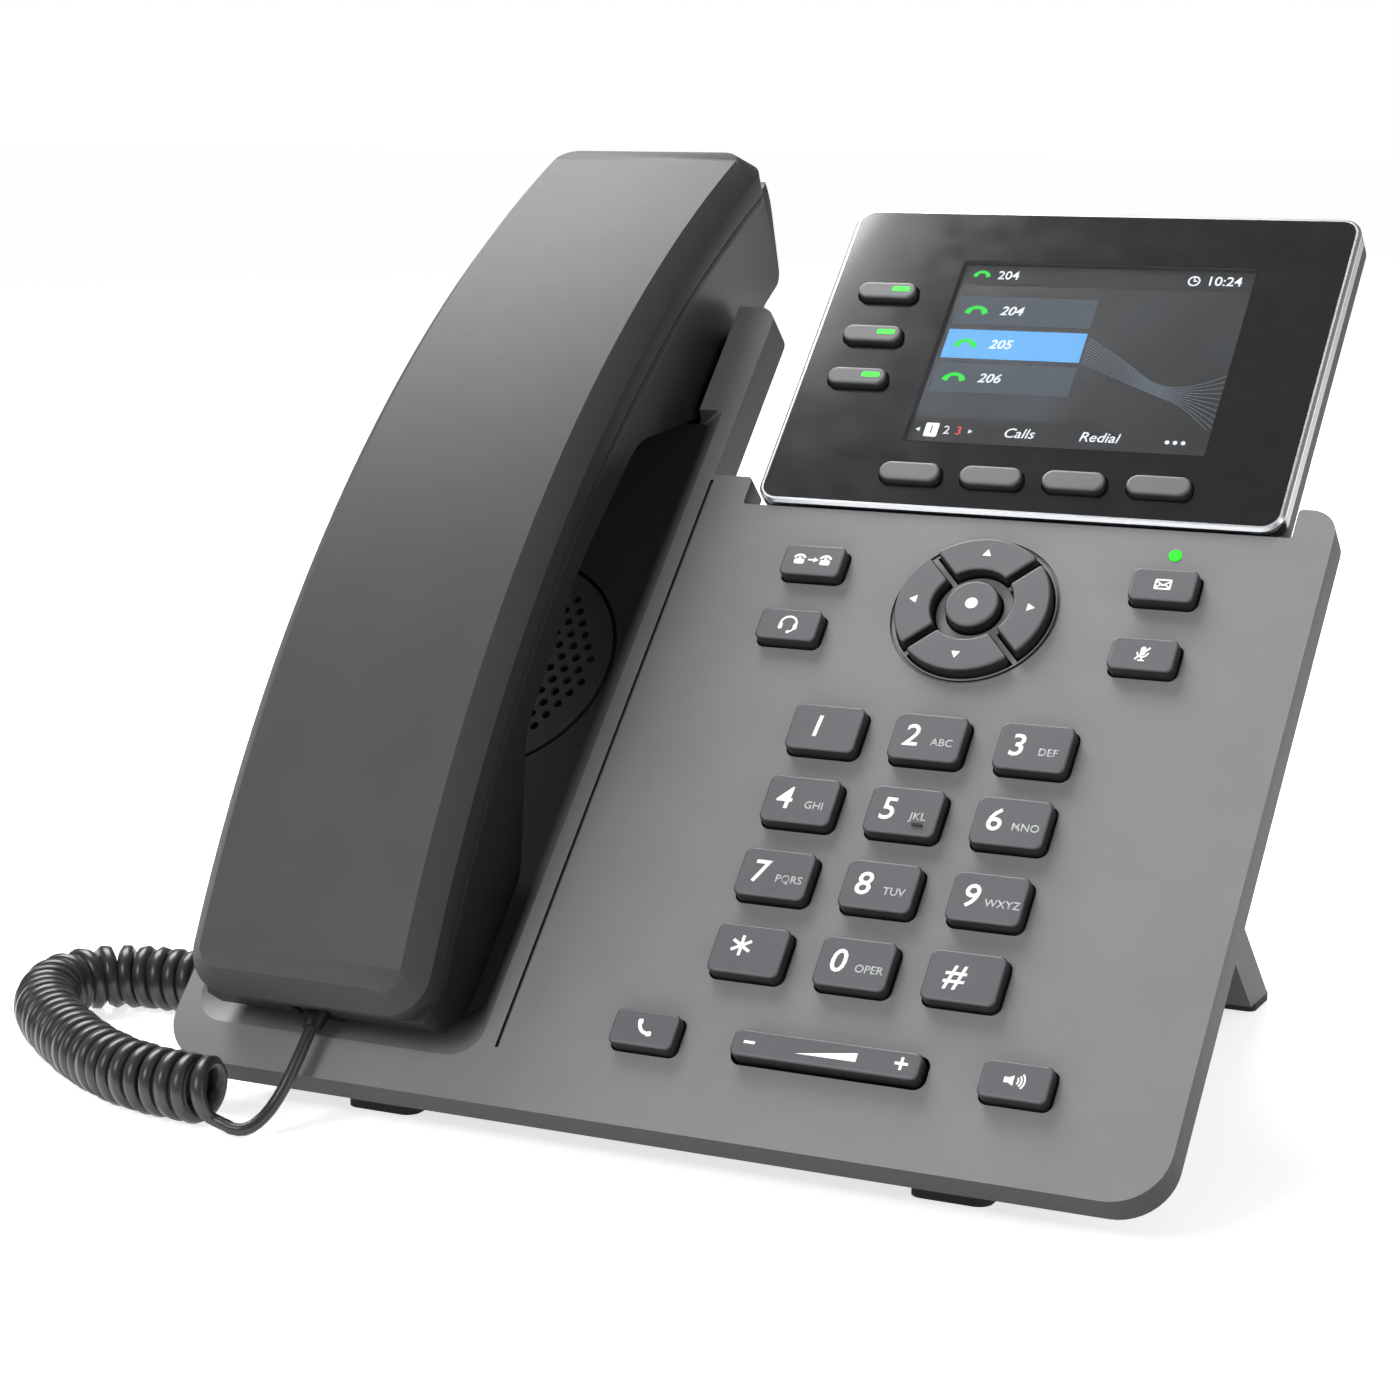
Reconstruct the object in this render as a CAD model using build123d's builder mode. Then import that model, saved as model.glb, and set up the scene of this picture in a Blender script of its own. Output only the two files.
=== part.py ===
"""Desk telephone with a colour display, a corded handset and a clip-on stand.

Most pieces are drawn in the deck frame: u to the right, v up the slope of the
key deck and w out of it, with its origin in the middle of the deck's front edge.
deck_point, deck_plane, side_plane and slope_plane turn that frame into the
part's own frame, whose +Z is up and whose origin is on the desk under the
middle of the telephone.
"""
from build123d import *
from math import asin, cos, degrees, radians, sin, tan
import os

# ---- driving dimensions, millimetres and degrees ----
deck_tilt = 45.64
deck_foot_height = 8.5
deck_width = 185.0
deck_height = 134.6
deck_corner = 9.5
plate_thickness = 2.0
rim_depth = 4.4
shell_wall = 2.2
belly_depth = 27.0
belly_inset = 4.0
belly_taper = 33.0
fit_gap = 0.3

tower_right = -27.7
tower_top = 176.0
tower_rim_depth = 6.0
tower_back_depth = 15.0

notch_left = -19.7
notch_right = 85.2
notch_v = 128.3

handset_u = -60.0
crown_radius = 276.0
crown_v = 102.6
crown_height = 33.0
mouth_end_v = 6.5
ear_end_v = 207.5
back_half_width = 24.0
back_depth = 8.0
back_wall = 2.0
back_side_wall = 4.0
back_corner = 8.0
crown_chamfer_in = 3.4
crown_chamfer_down = 4.3
band_depth = 1.6
front_half_width = 22.6
front_wall = 2.0

trough_half_width = 25.0
trough_slope = 4.0
trough_depth = 3.3
trough_bottom_v = 8.0
trough_top_v = 150.0
pad_depth = 6.0
socket_depth = 10.4
socket_half_width = 24.0
socket_bottom_v = 149.0

grille_v = 90.4
grille_radius = 23.7
grille_thickness = 1.6
grille_hole_radius = 0.85
grille_hole_pitch = 3.0
grille_pattern_radius = 20.2

screen_width = 100.6
screen_height = 72.4
screen_u = 33.0
screen_bottom_v = 128.8
screen_proud = 1.0
screen_depth = 6.4
screen_corner = 4.0
bezel_thickness = 1.2
trim_width = 0.9
window_width = 58.0
window_height = 44.2
window_u = 37.04
window_v = 166.4

key_proud = 2.5
key_travel = 1.2
key_clearance = 0.35
key_flange = 0.8
key_flange_thickness = 0.8
screen_key_proud = 1.5

stand_half_width = 68.5
stand_rear_v = 97.0
stand_flange = 8.0
stand_wall = 3.0
foot_pad = 1.6
front_foot_x = 53.5
front_foot_width = 15.0
front_foot_length = 13.0
front_foot_y = 10.5

screw_places = [(-11.8, 112.0), (46.5, 121.0), (-68.0, 22.0), (72.0, 27.0)]
screw_seat = 11.0
screw_radius = 1.2
screw_head_radius = 2.4
screw_head_height = 1.4
boss_radius = 3.6

board_top = -6.6
board_thickness = 1.6
jack_v = 70.0
jack_u = (-16.0, 4.0)

cord_diameter = 2.4
coil_diameter = 12.4

tilt = radians(deck_tilt)


def crown_point(angle, depth):
    """Deck (v, w) of a point under the handset's crown at an angle from its top."""
    radius = crown_radius - depth
    return (crown_v + radius * sin(angle), crown_height - crown_radius + radius * cos(angle))


# The footprint runs from the crown's lower edge to the stand's heel; its middle is Y = 0.
mouth_angle = asin((mouth_end_v - crown_v) / crown_radius)
ear_angle = asin((ear_end_v - crown_v) / crown_radius)
nose_v, nose_w = crown_point(mouth_angle + crown_chamfer_in / crown_radius, 0)
nose_y = nose_v * cos(tilt) - nose_w * sin(tilt)
heel_w = -(deck_foot_height + stand_rear_v * sin(tilt)) / cos(tilt)
heel_y = stand_rear_v * cos(tilt) - heel_w * sin(tilt)
middle_y = (nose_y + heel_y) / 2


def deck_point(u, v, w):
    """Point of the part's frame for a point of the deck frame."""
    return (u, v * cos(tilt) - w * sin(tilt) - middle_y, v * sin(tilt) + w * cos(tilt) + deck_foot_height)


def desk_point(x, y, z):
    """Point of the part's frame from its place beyond the deck's front edge."""
    return (x, y - middle_y, z)


def deck_plane(w=0.0, u=0.0, v=0.0):
    """Plane parallel to the key deck: local x is u, local y is v."""
    return Plane(origin=deck_point(u, v, w), x_dir=(1, 0, 0), z_dir=(0, -sin(tilt), cos(tilt)))


def side_plane(u=0.0):
    """Upright plane along the slope: local x is v, local y is w."""
    return Plane(origin=deck_point(u, 0, 0), x_dir=(0, cos(tilt), sin(tilt)), z_dir=(1, 0, 0))


def slope_plane(v=0.0, u=0.0):
    """Plane across the slope, facing down it: local x is u, local y is w."""
    return Plane(origin=deck_point(u, v, 0), x_dir=(1, 0, 0), z_dir=(0, -cos(tilt), -sin(tilt)))


def crown_plane(angle):
    """Plane across the handset at an angle of its crown: local y runs out from the crown's axis."""
    lean = angle - tilt
    origin = deck_point(handset_u, crown_v, crown_height - crown_radius)
    return Plane(origin=origin, x_dir=(1, 0, 0), z_dir=(0, -cos(lean), sin(lean)))


def outline(corners):
    """Edges of a closed outline from (x, y, corner radius) triples."""
    with BuildLine() as line:
        points = [(x, y) for x, y, _ in corners]
        FilletPolyline(*points, radius=[radius for _, _, radius in corners], close=True)
    return line.edges()


def box_between(low, high):
    """Corners of an upright rectangle from its low and high corners, as a sketch outline."""
    return [(low[0], low[1], 0), (high[0], low[1], 0), (high[0], high[1], 0), (low[0], high[1], 0)]


def save(piece, name):
    """Label a finished piece and write its STEP file."""
    piece.part.label = name
    export_step(piece.part, f"parts/{name}.step")


os.makedirs("parts", exist_ok=True)
crown_axis = Axis(deck_point(handset_u, crown_v, crown_height - crown_radius), (-1, 0, 0))
crown_sweep = degrees(ear_angle - mouth_angle)
left_edge = -deck_width / 2
right_edge = deck_width / 2
front_corners = [
    (left_edge, 0, deck_corner), (right_edge, 0, deck_corner),
    (right_edge, deck_height, 5.0), (notch_right, deck_height, 0.8),
    (notch_right, notch_v, 0.6), (notch_left, notch_v, 0.6),
    (notch_left, deck_height, 0.8), (tower_right, deck_height, 0.6),
    (tower_right, tower_top, 4.0), (left_edge, tower_top, 6.0),
]

# ---- key places ----
dial_names = ["key_1", "key_2", "key_3", "key_4", "key_5", "key_6",
              "key_7", "key_8", "key_9", "key_star", "key_0", "key_hash"]
dial_columns = (12.9, 32.2, 51.5)
dial_rows = (79.4, 64.3, 49.3, 34.2)
dial_size = (13.3, 9.55, 1.5)
function_size = (11.9, 6.8, 1.3)
function_keys = {
    "transfer_key": (-0.5, 114.85), "headset_key": (-0.75, 100.5),
    "message_key": (65.8, 114.9), "mute_key": (65.7, 100.2),
    "send_key": (-0.8, 17.05), "speaker_key": (65.1, 17.05),
}
line_size = (12.0, 4.0, 1.99)
line_key_u = -5.0
line_key_v = (179.4, 168.7, 158.2)
soft_size = (12.0, 4.3, 2.14)
soft_key_u = (12.1, 27.95, 43.8, 59.7)
soft_key_v = 136.4
rocker_size = (33.5, 5.0, 1.4)
rocker_centre = (32.2, 17.1)
rocker_clearance = 0.6
nav_centre = (32.3, 108.0)
nav_outer = 14.3
nav_inner = 7.5
nav_gap = 1.6
nav_groove_radius = 15.6
ok_radius = 5.0
message_lens_place = (65.6, 122.9)
message_lens_radius = 1.15
message_lens_flange = 1.2

deck_keys = {}
for index, name in enumerate(dial_names):
    deck_keys[name] = (dial_columns[index % 3], dial_rows[index // 3], dial_size)
for name, (u, v) in function_keys.items():
    deck_keys[name] = (u, v, function_size)
screen_keys = {}
for index, v in enumerate(line_key_v):
    screen_keys[f"line_key_{index + 1}"] = (line_key_u, v, line_size)
for index, u in enumerate(soft_key_u):
    screen_keys[f"soft_key_{index + 1}"] = (u, soft_key_v, soft_size)


def nav_arc(direction, grow, outer, inner):
    """Edges of one arc key: a ring sector whose straight sides keep the gap to its neighbours."""
    half_gap = nav_gap / 2 - grow
    reach = outer * 1.6
    apex = half_gap * 2 ** 0.5
    with BuildSketch() as arc:
        Circle(outer)
        Circle(inner, mode=Mode.SUBTRACT)
        with BuildLine():
            Polyline((apex, 0), (apex + reach, reach), (apex + reach, -reach), close=True)
        make_face(mode=Mode.INTERSECT)
    return arc.sketch.rotate(Axis.Z, direction)


# ---- faceplate: key deck, handset trough and tower in one moulding ----
pad_left = handset_u - 30.0
pad_right = handset_u + 29.7
trough_left = handset_u - trough_half_width
trough_right = handset_u + trough_half_width
socket_left = handset_u - socket_half_width
socket_right = handset_u + socket_half_width
grille_seat = grille_radius + 0.8
plunger_v = 30.0
plunger_radius = 2.2

with BuildPart() as faceplate:
    with BuildSketch(deck_plane(-plate_thickness)):
        make_face(outline(front_corners))
    extrude(amount=plate_thickness)
    with BuildSketch(deck_plane(-pad_depth)):
        make_face(outline([(pad_left, 6.5, 5), (pad_right, 6.5, 2), (pad_right, trough_top_v, 0),
                           (pad_left, trough_top_v, 0)]))
    extrude(amount=pad_depth - plate_thickness)
    with BuildSketch(deck_plane(-socket_depth - plate_thickness)):
        make_face(outline(box_between((socket_left - 2, socket_bottom_v - 2), (socket_right + 2, tower_top - 0.01))))
    extrude(amount=socket_depth)
    with BuildSketch(deck_plane(-plate_thickness)):
        with Locations(*screw_places):
            Circle(boss_radius)
    extrude(amount=-(screw_seat - plate_thickness))
    with BuildSketch(deck_plane(-screw_seat)):
        with Locations(*screw_places):
            Circle(screw_radius + 0.05)
    extrude(amount=screw_seat - plate_thickness - 1.5, mode=Mode.SUBTRACT)
    # The trough's floor meets the deck by a slope on every side.
    for w, spread, low, high, corner in ((0, trough_slope, trough_bottom_v, trough_top_v, 6),
                                         (-trough_depth, 0, trough_bottom_v + 9, socket_bottom_v, 5)):
        with BuildSketch(deck_plane(w)):
            make_face(outline([(trough_left - spread, low, corner), (trough_right + spread, low, corner),
                               (trough_right + spread, high, 1), (trough_left - spread, high, 1)]))
    loft(ruled=True, mode=Mode.SUBTRACT)
    with BuildSketch(deck_plane(0)):
        make_face(outline([(socket_left, socket_bottom_v, 1), (socket_right, socket_bottom_v, 1),
                           (socket_right, tower_top + 2, 0), (socket_left, tower_top + 2, 0)]))
    extrude(amount=-socket_depth, mode=Mode.SUBTRACT)
    # Grille seat and hook plunger hole in the trough.
    with BuildSketch(deck_plane(-pad_depth - 1)):
        with Locations((handset_u, grille_v)):
            Circle(grille_seat)
        with Locations((handset_u, plunger_v)):
            Circle(plunger_radius + fit_gap)
    extrude(amount=pad_depth + 1, mode=Mode.SUBTRACT)
    # Seam between the trough and the key deck.
    with BuildSketch(deck_plane(-0.7)):
        make_face(outline(box_between((tower_right - 0.35, 10.8), (tower_right + 0.35, deck_height - 1.2))))
    extrude(amount=1, mode=Mode.SUBTRACT)
    # Key holes.
    with BuildSketch(deck_plane(-plate_thickness - 1)):
        for u, v, (width, height, corner) in deck_keys.values():
            with Locations((u, v)):
                RectangleRounded(width + 2 * key_clearance, height + 2 * key_clearance, corner + key_clearance)
        with Locations(rocker_centre):
            RectangleRounded(rocker_size[0] + 2 * rocker_clearance, rocker_size[1] + 2 * rocker_clearance,
                             rocker_size[2] + rocker_clearance)
        with Locations(nav_centre):
            Circle(ok_radius + key_clearance)
            for direction in (0, 90, 180, 270):
                add(nav_arc(direction, key_clearance, nav_outer + key_clearance, nav_inner - key_clearance))
        with Locations(message_lens_place):
            Circle(message_lens_radius + 0.1)
    extrude(amount=plate_thickness + 2, mode=Mode.SUBTRACT)
    with BuildSketch(deck_plane(-0.5)):
        with Locations(nav_centre):
            Circle(nav_groove_radius)
            Circle(nav_groove_radius - 0.6, mode=Mode.SUBTRACT)
    extrude(amount=1, mode=Mode.SUBTRACT)
save(faceplate, "faceplate")

with BuildPart() as message_lens:
    with BuildSketch(deck_plane(-plate_thickness - message_lens_flange, *message_lens_place)):
        Circle(message_lens_radius)
    extrude(amount=plate_thickness + message_lens_flange + 0.2)
    with BuildSketch(deck_plane(-plate_thickness - message_lens_flange, *message_lens_place)):
        Circle(message_lens_radius + key_flange)
    extrude(amount=message_lens_flange)
save(message_lens, "message_lens")

# ---- rear shell: rim, tapered belly, tower back, connector bay, display shelf and feet ----
rim_bottom = plate_thickness + rim_depth
belly_floor = belly_depth - shell_wall
bay_left, bay_right, bay_bottom, bay_top = -18.0, 74.0, 100.0, 127.5
belly_left = left_edge + belly_inset
belly_right = right_edge - belly_inset
belly_middle_v = (belly_inset + bay_top - 1) / 2
belly_height = bay_top - 1 - belly_inset
shelf_left, shelf_right, shelf_top = -8.0, 74.0, 172.0
shelf_front = screen_depth - screen_proud + fit_gap
shelf_thickness = 2.2
rj45_u = (14.0, 34.0)
rj45_size = (16.0, 13.4)
power_u = 56.0
power_size = (9.0, 11.0)
rear_jack_w = board_top - board_thickness
audio_jack_size = 11.0

with BuildPart() as rear_shell:
    with BuildSketch(deck_plane(-plate_thickness)):
        make_face(outline(front_corners))
    extrude(amount=-rim_depth)
    with BuildSketch(deck_plane(-rim_bottom)):
        with Locations((0, belly_middle_v)):
            RectangleRounded(belly_right - belly_left, belly_height, 10)
    extrude(amount=-(belly_depth - rim_bottom), taper=belly_taper)
    with BuildSketch(deck_plane(-rim_bottom)):
        make_face(outline([(socket_left - 2, 90, 2), (socket_right + 2, 90, 2),
                           (socket_right + 2, tower_top - 3, 4), (socket_left - 2, tower_top - 3, 4)]))
    extrude(amount=-(tower_back_depth + 1.5 - rim_bottom))
    with BuildSketch(deck_plane(-plate_thickness)):
        make_face(outline([(left_edge + 0.01, 100, 0), (tower_right - 0.01, 100, 0),
                           (tower_right - 0.01, tower_top - 0.01, 4.0), (left_edge + 0.01, tower_top - 0.01, 6.0)]))
    extrude(amount=-tower_rim_depth)
    with BuildSketch(deck_plane(-rim_bottom)):
        make_face(outline([(bay_left, bay_bottom - 30, 1), (bay_right, bay_bottom - 30, 1),
                           (bay_right, bay_top, 2), (bay_left, bay_top, 2)]))
    extrude(amount=-(belly_depth - rim_bottom))
    for x in (-front_foot_x, front_foot_x):
        with BuildSketch(Plane(origin=desk_point(x, front_foot_y + front_foot_length / 2, foot_pad))):
            RectangleRounded(front_foot_width, front_foot_length, 3)
        extrude(amount=6.5)
    # Hollows, one inside each outer form.
    with BuildSketch(deck_plane(-plate_thickness + 1)) as rim_hollow:
        make_face(outline(front_corners))
        offset(amount=-shell_wall)
    extrude(amount=-rim_depth - 1, mode=Mode.SUBTRACT)
    with BuildSketch(deck_plane(-rim_bottom + 0.5)):
        with Locations((0, belly_middle_v)):
            RectangleRounded(belly_right - belly_left - 2 * shell_wall, belly_height - 2 * shell_wall, 8)
    extrude(amount=-(belly_floor - rim_bottom + 0.5), taper=belly_taper, mode=Mode.SUBTRACT)
    with BuildSketch(deck_plane(-plate_thickness)):
        make_face(outline([(left_edge + shell_wall, 95, 1), (tower_right - shell_wall, 95, 1),
                           (tower_right - shell_wall, tower_top - shell_wall, 2),
                           (left_edge + shell_wall, tower_top - shell_wall, 4)]))
    extrude(amount=-(pad_depth + fit_gap - plate_thickness), mode=Mode.SUBTRACT)
    with BuildSketch(deck_plane(-plate_thickness)):
        make_face(outline([(socket_left, 92, 1), (socket_right, 92, 1),
                           (socket_right, tower_top - 5, 3), (socket_left, tower_top - 5, 3)]))
    extrude(amount=-(tower_back_depth + 1.5 - shell_wall - plate_thickness), mode=Mode.SUBTRACT)
    with BuildSketch(deck_plane(-plate_thickness)):
        make_face(outline([(bay_left + shell_wall, bay_bottom - 28, 1), (bay_right - shell_wall, bay_bottom - 28, 1),
                           (bay_right - shell_wall, bay_top - shell_wall, 1),
                           (bay_left + shell_wall, bay_top - shell_wall, 1)]))
    extrude(amount=-(belly_floor - plate_thickness), mode=Mode.SUBTRACT)
    # The socket's tray leaves through the tower's top.
    with BuildSketch(deck_plane(0)):
        make_face(outline(box_between((socket_left - 2 - fit_gap, socket_bottom_v - 2 - fit_gap),
                                      (socket_right + 2 + fit_gap, tower_top + 2))))
    extrude(amount=-(socket_depth + plate_thickness + fit_gap), mode=Mode.SUBTRACT)
    # Shelf behind the display.
    with BuildSketch(deck_plane(-shelf_front)):
        make_face(outline([(shelf_left, bay_top - shell_wall, 0), (shelf_right, bay_top - shell_wall, 0),
                           (shelf_right, shelf_top, 5), (shelf_left, shelf_top, 5)]))
    extrude(amount=-shelf_thickness)
    # Screw bosses stand on the floor and end under the faceplate's bosses.
    with BuildSketch(deck_plane(-belly_floor)):
        with Locations(*screw_places):
            Circle(boss_radius)
    extrude(amount=belly_floor - screw_seat)
    with BuildSketch(deck_plane(-belly_floor - 1)):
        with Locations((handset_u, plunger_v)):
            Rectangle(14, 7)
    extrude(amount=belly_floor + 1 - 18.6)
    # Sockets, screw holes and vents.
    with BuildSketch(slope_plane(bay_top + 1)):
        with Locations(*[(u, rear_jack_w - rj45_size[1] / 2) for u in rj45_u]):
            Rectangle(rj45_size[0] + 0.6, rj45_size[1] + 0.6)
        with Locations((power_u, rear_jack_w - power_size[1] / 2)):
            Rectangle(power_size[0] + 0.6, power_size[1] + 0.6)
    extrude(amount=shell_wall + 2, mode=Mode.SUBTRACT)
    with BuildSketch(deck_plane(-belly_depth - 1)):
        with Locations(*[(u, jack_v) for u in jack_u]):
            Rectangle(audio_jack_size + 0.6, audio_jack_size + 0.6)
        with Locations((0, 40)):
            with GridLocations(8, 0, 9, 1):
                SlotOverall(14, 2.2, rotation=90)
    extrude(amount=shell_wall + 1.2, mode=Mode.SUBTRACT)
    with BuildSketch(deck_plane(-belly_depth - 1)):
        with Locations(*screw_places):
            Circle(screw_radius + 0.2)
    extrude(amount=belly_depth - 4, mode=Mode.SUBTRACT)
    with BuildSketch(deck_plane(-belly_depth - 1)):
        with Locations(*screw_places):
            Circle(screw_head_radius + 0.2)
    extrude(amount=screw_head_height + 1.2, mode=Mode.SUBTRACT)
save(rear_shell, "rear_shell")

# ---- keys of the deck ----
flange_top = -(plate_thickness + fit_gap)
flange_bottom = flange_top - key_flange_thickness


def sprung_key(name, u, v, size, top, ledge_top, ledge_thickness, edge):
    """A key cap with a retaining ledge under the panel that it passes through."""
    width, height, corner = size
    with BuildPart() as key:
        with BuildSketch(deck_plane(ledge_top - ledge_thickness, u, v)):
            RectangleRounded(width, height, corner)
        extrude(amount=top - ledge_top + ledge_thickness)
        fillet(key.faces().sort_by(Axis((0, 0, 0), deck_plane().z_dir))[-1].edges(), edge)
        with BuildSketch(deck_plane(ledge_top - ledge_thickness, u, v)):
            RectangleRounded(width + 2 * key_flange, height + 2 * key_flange, corner + key_flange)
        extrude(amount=ledge_thickness)
    save(key, name)


for name, (u, v, size) in deck_keys.items():
    sprung_key(name, u, v, size, key_proud, flange_top, key_flange_thickness, 0.5)

with BuildPart() as ok_button:
    with BuildSketch(deck_plane(flange_bottom, *nav_centre)):
        Circle(ok_radius)
    extrude(amount=key_proud - flange_bottom)
    fillet(ok_button.faces().sort_by(Axis((0, 0, 0), deck_plane().z_dir))[-1].edges(), 0.6)
    with BuildSketch(deck_plane(flange_bottom, *nav_centre)):
        Circle(ok_radius + key_flange)
    extrude(amount=key_flange_thickness)
save(ok_button, "ok_button")

for name, direction in (("nav_right", 0), ("nav_up", 90), ("nav_left", 180), ("nav_down", 270)):
    with BuildPart() as arc_key:
        with BuildSketch(deck_plane(flange_bottom, *nav_centre)):
            add(nav_arc(direction, 0, nav_outer, nav_inner))
        extrude(amount=key_proud - flange_bottom)
        fillet(arc_key.edges().filter_by(Axis((0, 0, 0), deck_plane().z_dir)), 0.7)
        fillet(arc_key.faces().sort_by(Axis((0, 0, 0), deck_plane().z_dir))[-1].edges(), 0.5)
        with BuildSketch(deck_plane(flange_bottom, *nav_centre)):
            add(nav_arc(direction, 0, nav_outer + key_flange + 0.1, nav_inner - key_flange - 0.1))
        extrude(amount=key_flange_thickness)
    save(arc_key, name)

mat_top = flange_bottom - key_travel - fit_gap
rocker_pivot_w = mat_top + 1.2
with BuildPart() as volume_rocker:
    with BuildSketch(deck_plane(flange_top, *rocker_centre)):
        RectangleRounded(*rocker_size)
    extrude(amount=key_proud - flange_top)
    fillet(volume_rocker.faces().sort_by(Axis((0, 0, 0), deck_plane().z_dir))[-1].edges(), 0.5)
    with BuildSketch(slope_plane(rocker_centre[1] + 4)):
        with Locations((rocker_centre[0], rocker_pivot_w)):
            Circle(1.0)
        with Locations((rocker_centre[0], (rocker_pivot_w + flange_top) / 2)):
            Rectangle(1.6, flange_top - rocker_pivot_w)
    extrude(amount=8)
save(volume_rocker, "volume_rocker")

# ---- keys of the display ----
screen_face = screen_proud
screen_flange_top = screen_face - bezel_thickness - fit_gap
screen_flange_thickness = 0.7
for name, (u, v, size) in screen_keys.items():
    sprung_key(name, u, v, size, screen_face + screen_key_proud, screen_flange_top, screen_flange_thickness, 0.6)

# ---- display ----
screen_v = screen_bottom_v + screen_height / 2
screen_back = screen_face - screen_depth
bezel_wall = 1.4
bezel_back = screen_face - 3.4
trim_seat = screen_face - 1.4
cover_floor = 1.4
lcd_top = screen_face - bezel_thickness - 0.2
lcd_thickness = 1.9
display_board_top = lcd_top - lcd_thickness - 0.2
display_board_thickness = 1.0
with BuildPart() as display_bezel:
    with BuildSketch(deck_plane(bezel_back, screen_u, screen_v)):
        RectangleRounded(screen_width, screen_height, screen_corner)
    extrude(amount=trim_seat - bezel_back)
    with BuildSketch(deck_plane(trim_seat, screen_u, screen_v)):
        RectangleRounded(screen_width - 2 * trim_width - 0.2, screen_height - 2 * trim_width - 0.2,
                         screen_corner - trim_width)
    extrude(amount=screen_face - trim_seat)
    with BuildSketch(deck_plane(bezel_back, screen_u, screen_v)):
        RectangleRounded(screen_width - 2 * bezel_wall, screen_height - 2 * bezel_wall, screen_corner - bezel_wall)
    extrude(amount=screen_face - bezel_back - bezel_thickness, mode=Mode.SUBTRACT)
    with BuildSketch(deck_plane(bezel_back)):
        with Locations((window_u, window_v)):
            RectangleRounded(window_width, window_height, 0.6)
        for u, v, (width, height, corner) in screen_keys.values():
            with Locations((u, v)):
                RectangleRounded(width + 2 * key_clearance, height + 2 * key_clearance, corner + key_clearance)
    extrude(amount=screen_face - bezel_back + 1, mode=Mode.SUBTRACT)
save(display_bezel, "display_bezel")

with BuildPart() as display_trim:
    with BuildSketch(deck_plane(trim_seat + 0.1, screen_u, screen_v)):
        RectangleRounded(screen_width, screen_height, screen_corner)
    extrude(amount=screen_face - trim_seat - 0.1)
    chamfer(display_trim.faces().sort_by(Axis((0, 0, 0), deck_plane().z_dir))[-1].edges(), 0.5)
    with BuildSketch(deck_plane(trim_seat, screen_u, screen_v)):
        RectangleRounded(screen_width - 2 * trim_width, screen_height - 2 * trim_width, screen_corner - trim_width)
    extrude(amount=screen_face - trim_seat + 1, mode=Mode.SUBTRACT)
save(display_trim, "display_trim")

with BuildPart() as display_rear_cover:
    with BuildSketch(deck_plane(bezel_back, screen_u, screen_v)):
        RectangleRounded(screen_width, screen_height, screen_corner)
    extrude(amount=screen_back - bezel_back)
    with BuildSketch(deck_plane(bezel_back, screen_u, screen_v)):
        RectangleRounded(screen_width - 2 * bezel_wall, screen_height - 2 * bezel_wall, screen_corner - bezel_wall)
    extrude(amount=screen_back + cover_floor - bezel_back, mode=Mode.SUBTRACT)
    with BuildSketch(deck_plane(screen_back - 1, screen_u, screen_v)):
        with Locations((0, 22)):
            with GridLocations(5, 0, 13, 1):
                SlotOverall(9, 1.8, rotation=90)
    extrude(amount=cover_floor + 2, mode=Mode.SUBTRACT)
save(display_rear_cover, "display_rear_cover")

lcd_border = 3.4
with BuildPart() as lcd_module:
    with BuildSketch(deck_plane(lcd_top, window_u, window_v)):
        RectangleRounded(window_width + 2 * lcd_border, window_height + 2 * lcd_border - 1.6, 0.8)
    extrude(amount=-lcd_thickness)
save(lcd_module, "lcd_module")

with BuildPart() as display_board:
    with BuildSketch(deck_plane(display_board_top, screen_u, screen_v)):
        RectangleRounded(screen_width - 2 * bezel_wall - 1, screen_height - 2 * bezel_wall - 1, 2)
    extrude(amount=-display_board_thickness)
save(display_board, "display_board")

# ---- speaker grille and loudspeaker ----
grille_top = -trough_depth
grille_rim = 1.8
grille_flange_radius = grille_radius + 1.7
grille_flange_thickness = 1.2
row_pitch = grille_hole_pitch * 3 ** 0.5 / 2
rows = int(grille_pattern_radius / row_pitch) + 1
grille_holes = []
for row in range(-rows, rows + 1):
    for column in range(-rows - 2, rows + 3):
        x = (column + 0.5 * (row % 2)) * grille_hole_pitch
        y = row * row_pitch
        if (x ** 2 + y ** 2) ** 0.5 <= grille_pattern_radius:
            grille_holes.append((x, y))
with BuildPart() as speaker_grille:
    with BuildSketch(deck_plane(-pad_depth, handset_u, grille_v)):
        Circle(grille_radius)
    extrude(amount=pad_depth + grille_top)
    with BuildSketch(deck_plane(-pad_depth, handset_u, grille_v)):
        Circle(grille_flange_radius)
    extrude(amount=-grille_flange_thickness)
    with BuildSketch(deck_plane(-pad_depth - grille_flange_thickness, handset_u, grille_v)):
        Circle(grille_radius - grille_rim)
    extrude(amount=pad_depth + grille_flange_thickness + grille_top - grille_thickness, mode=Mode.SUBTRACT)
    with BuildSketch(deck_plane(grille_top, handset_u, grille_v)):
        with Locations(*grille_holes):
            Circle(grille_hole_radius)
    extrude(amount=-grille_thickness - 1, mode=Mode.SUBTRACT)
save(speaker_grille, "speaker_grille")

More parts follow.
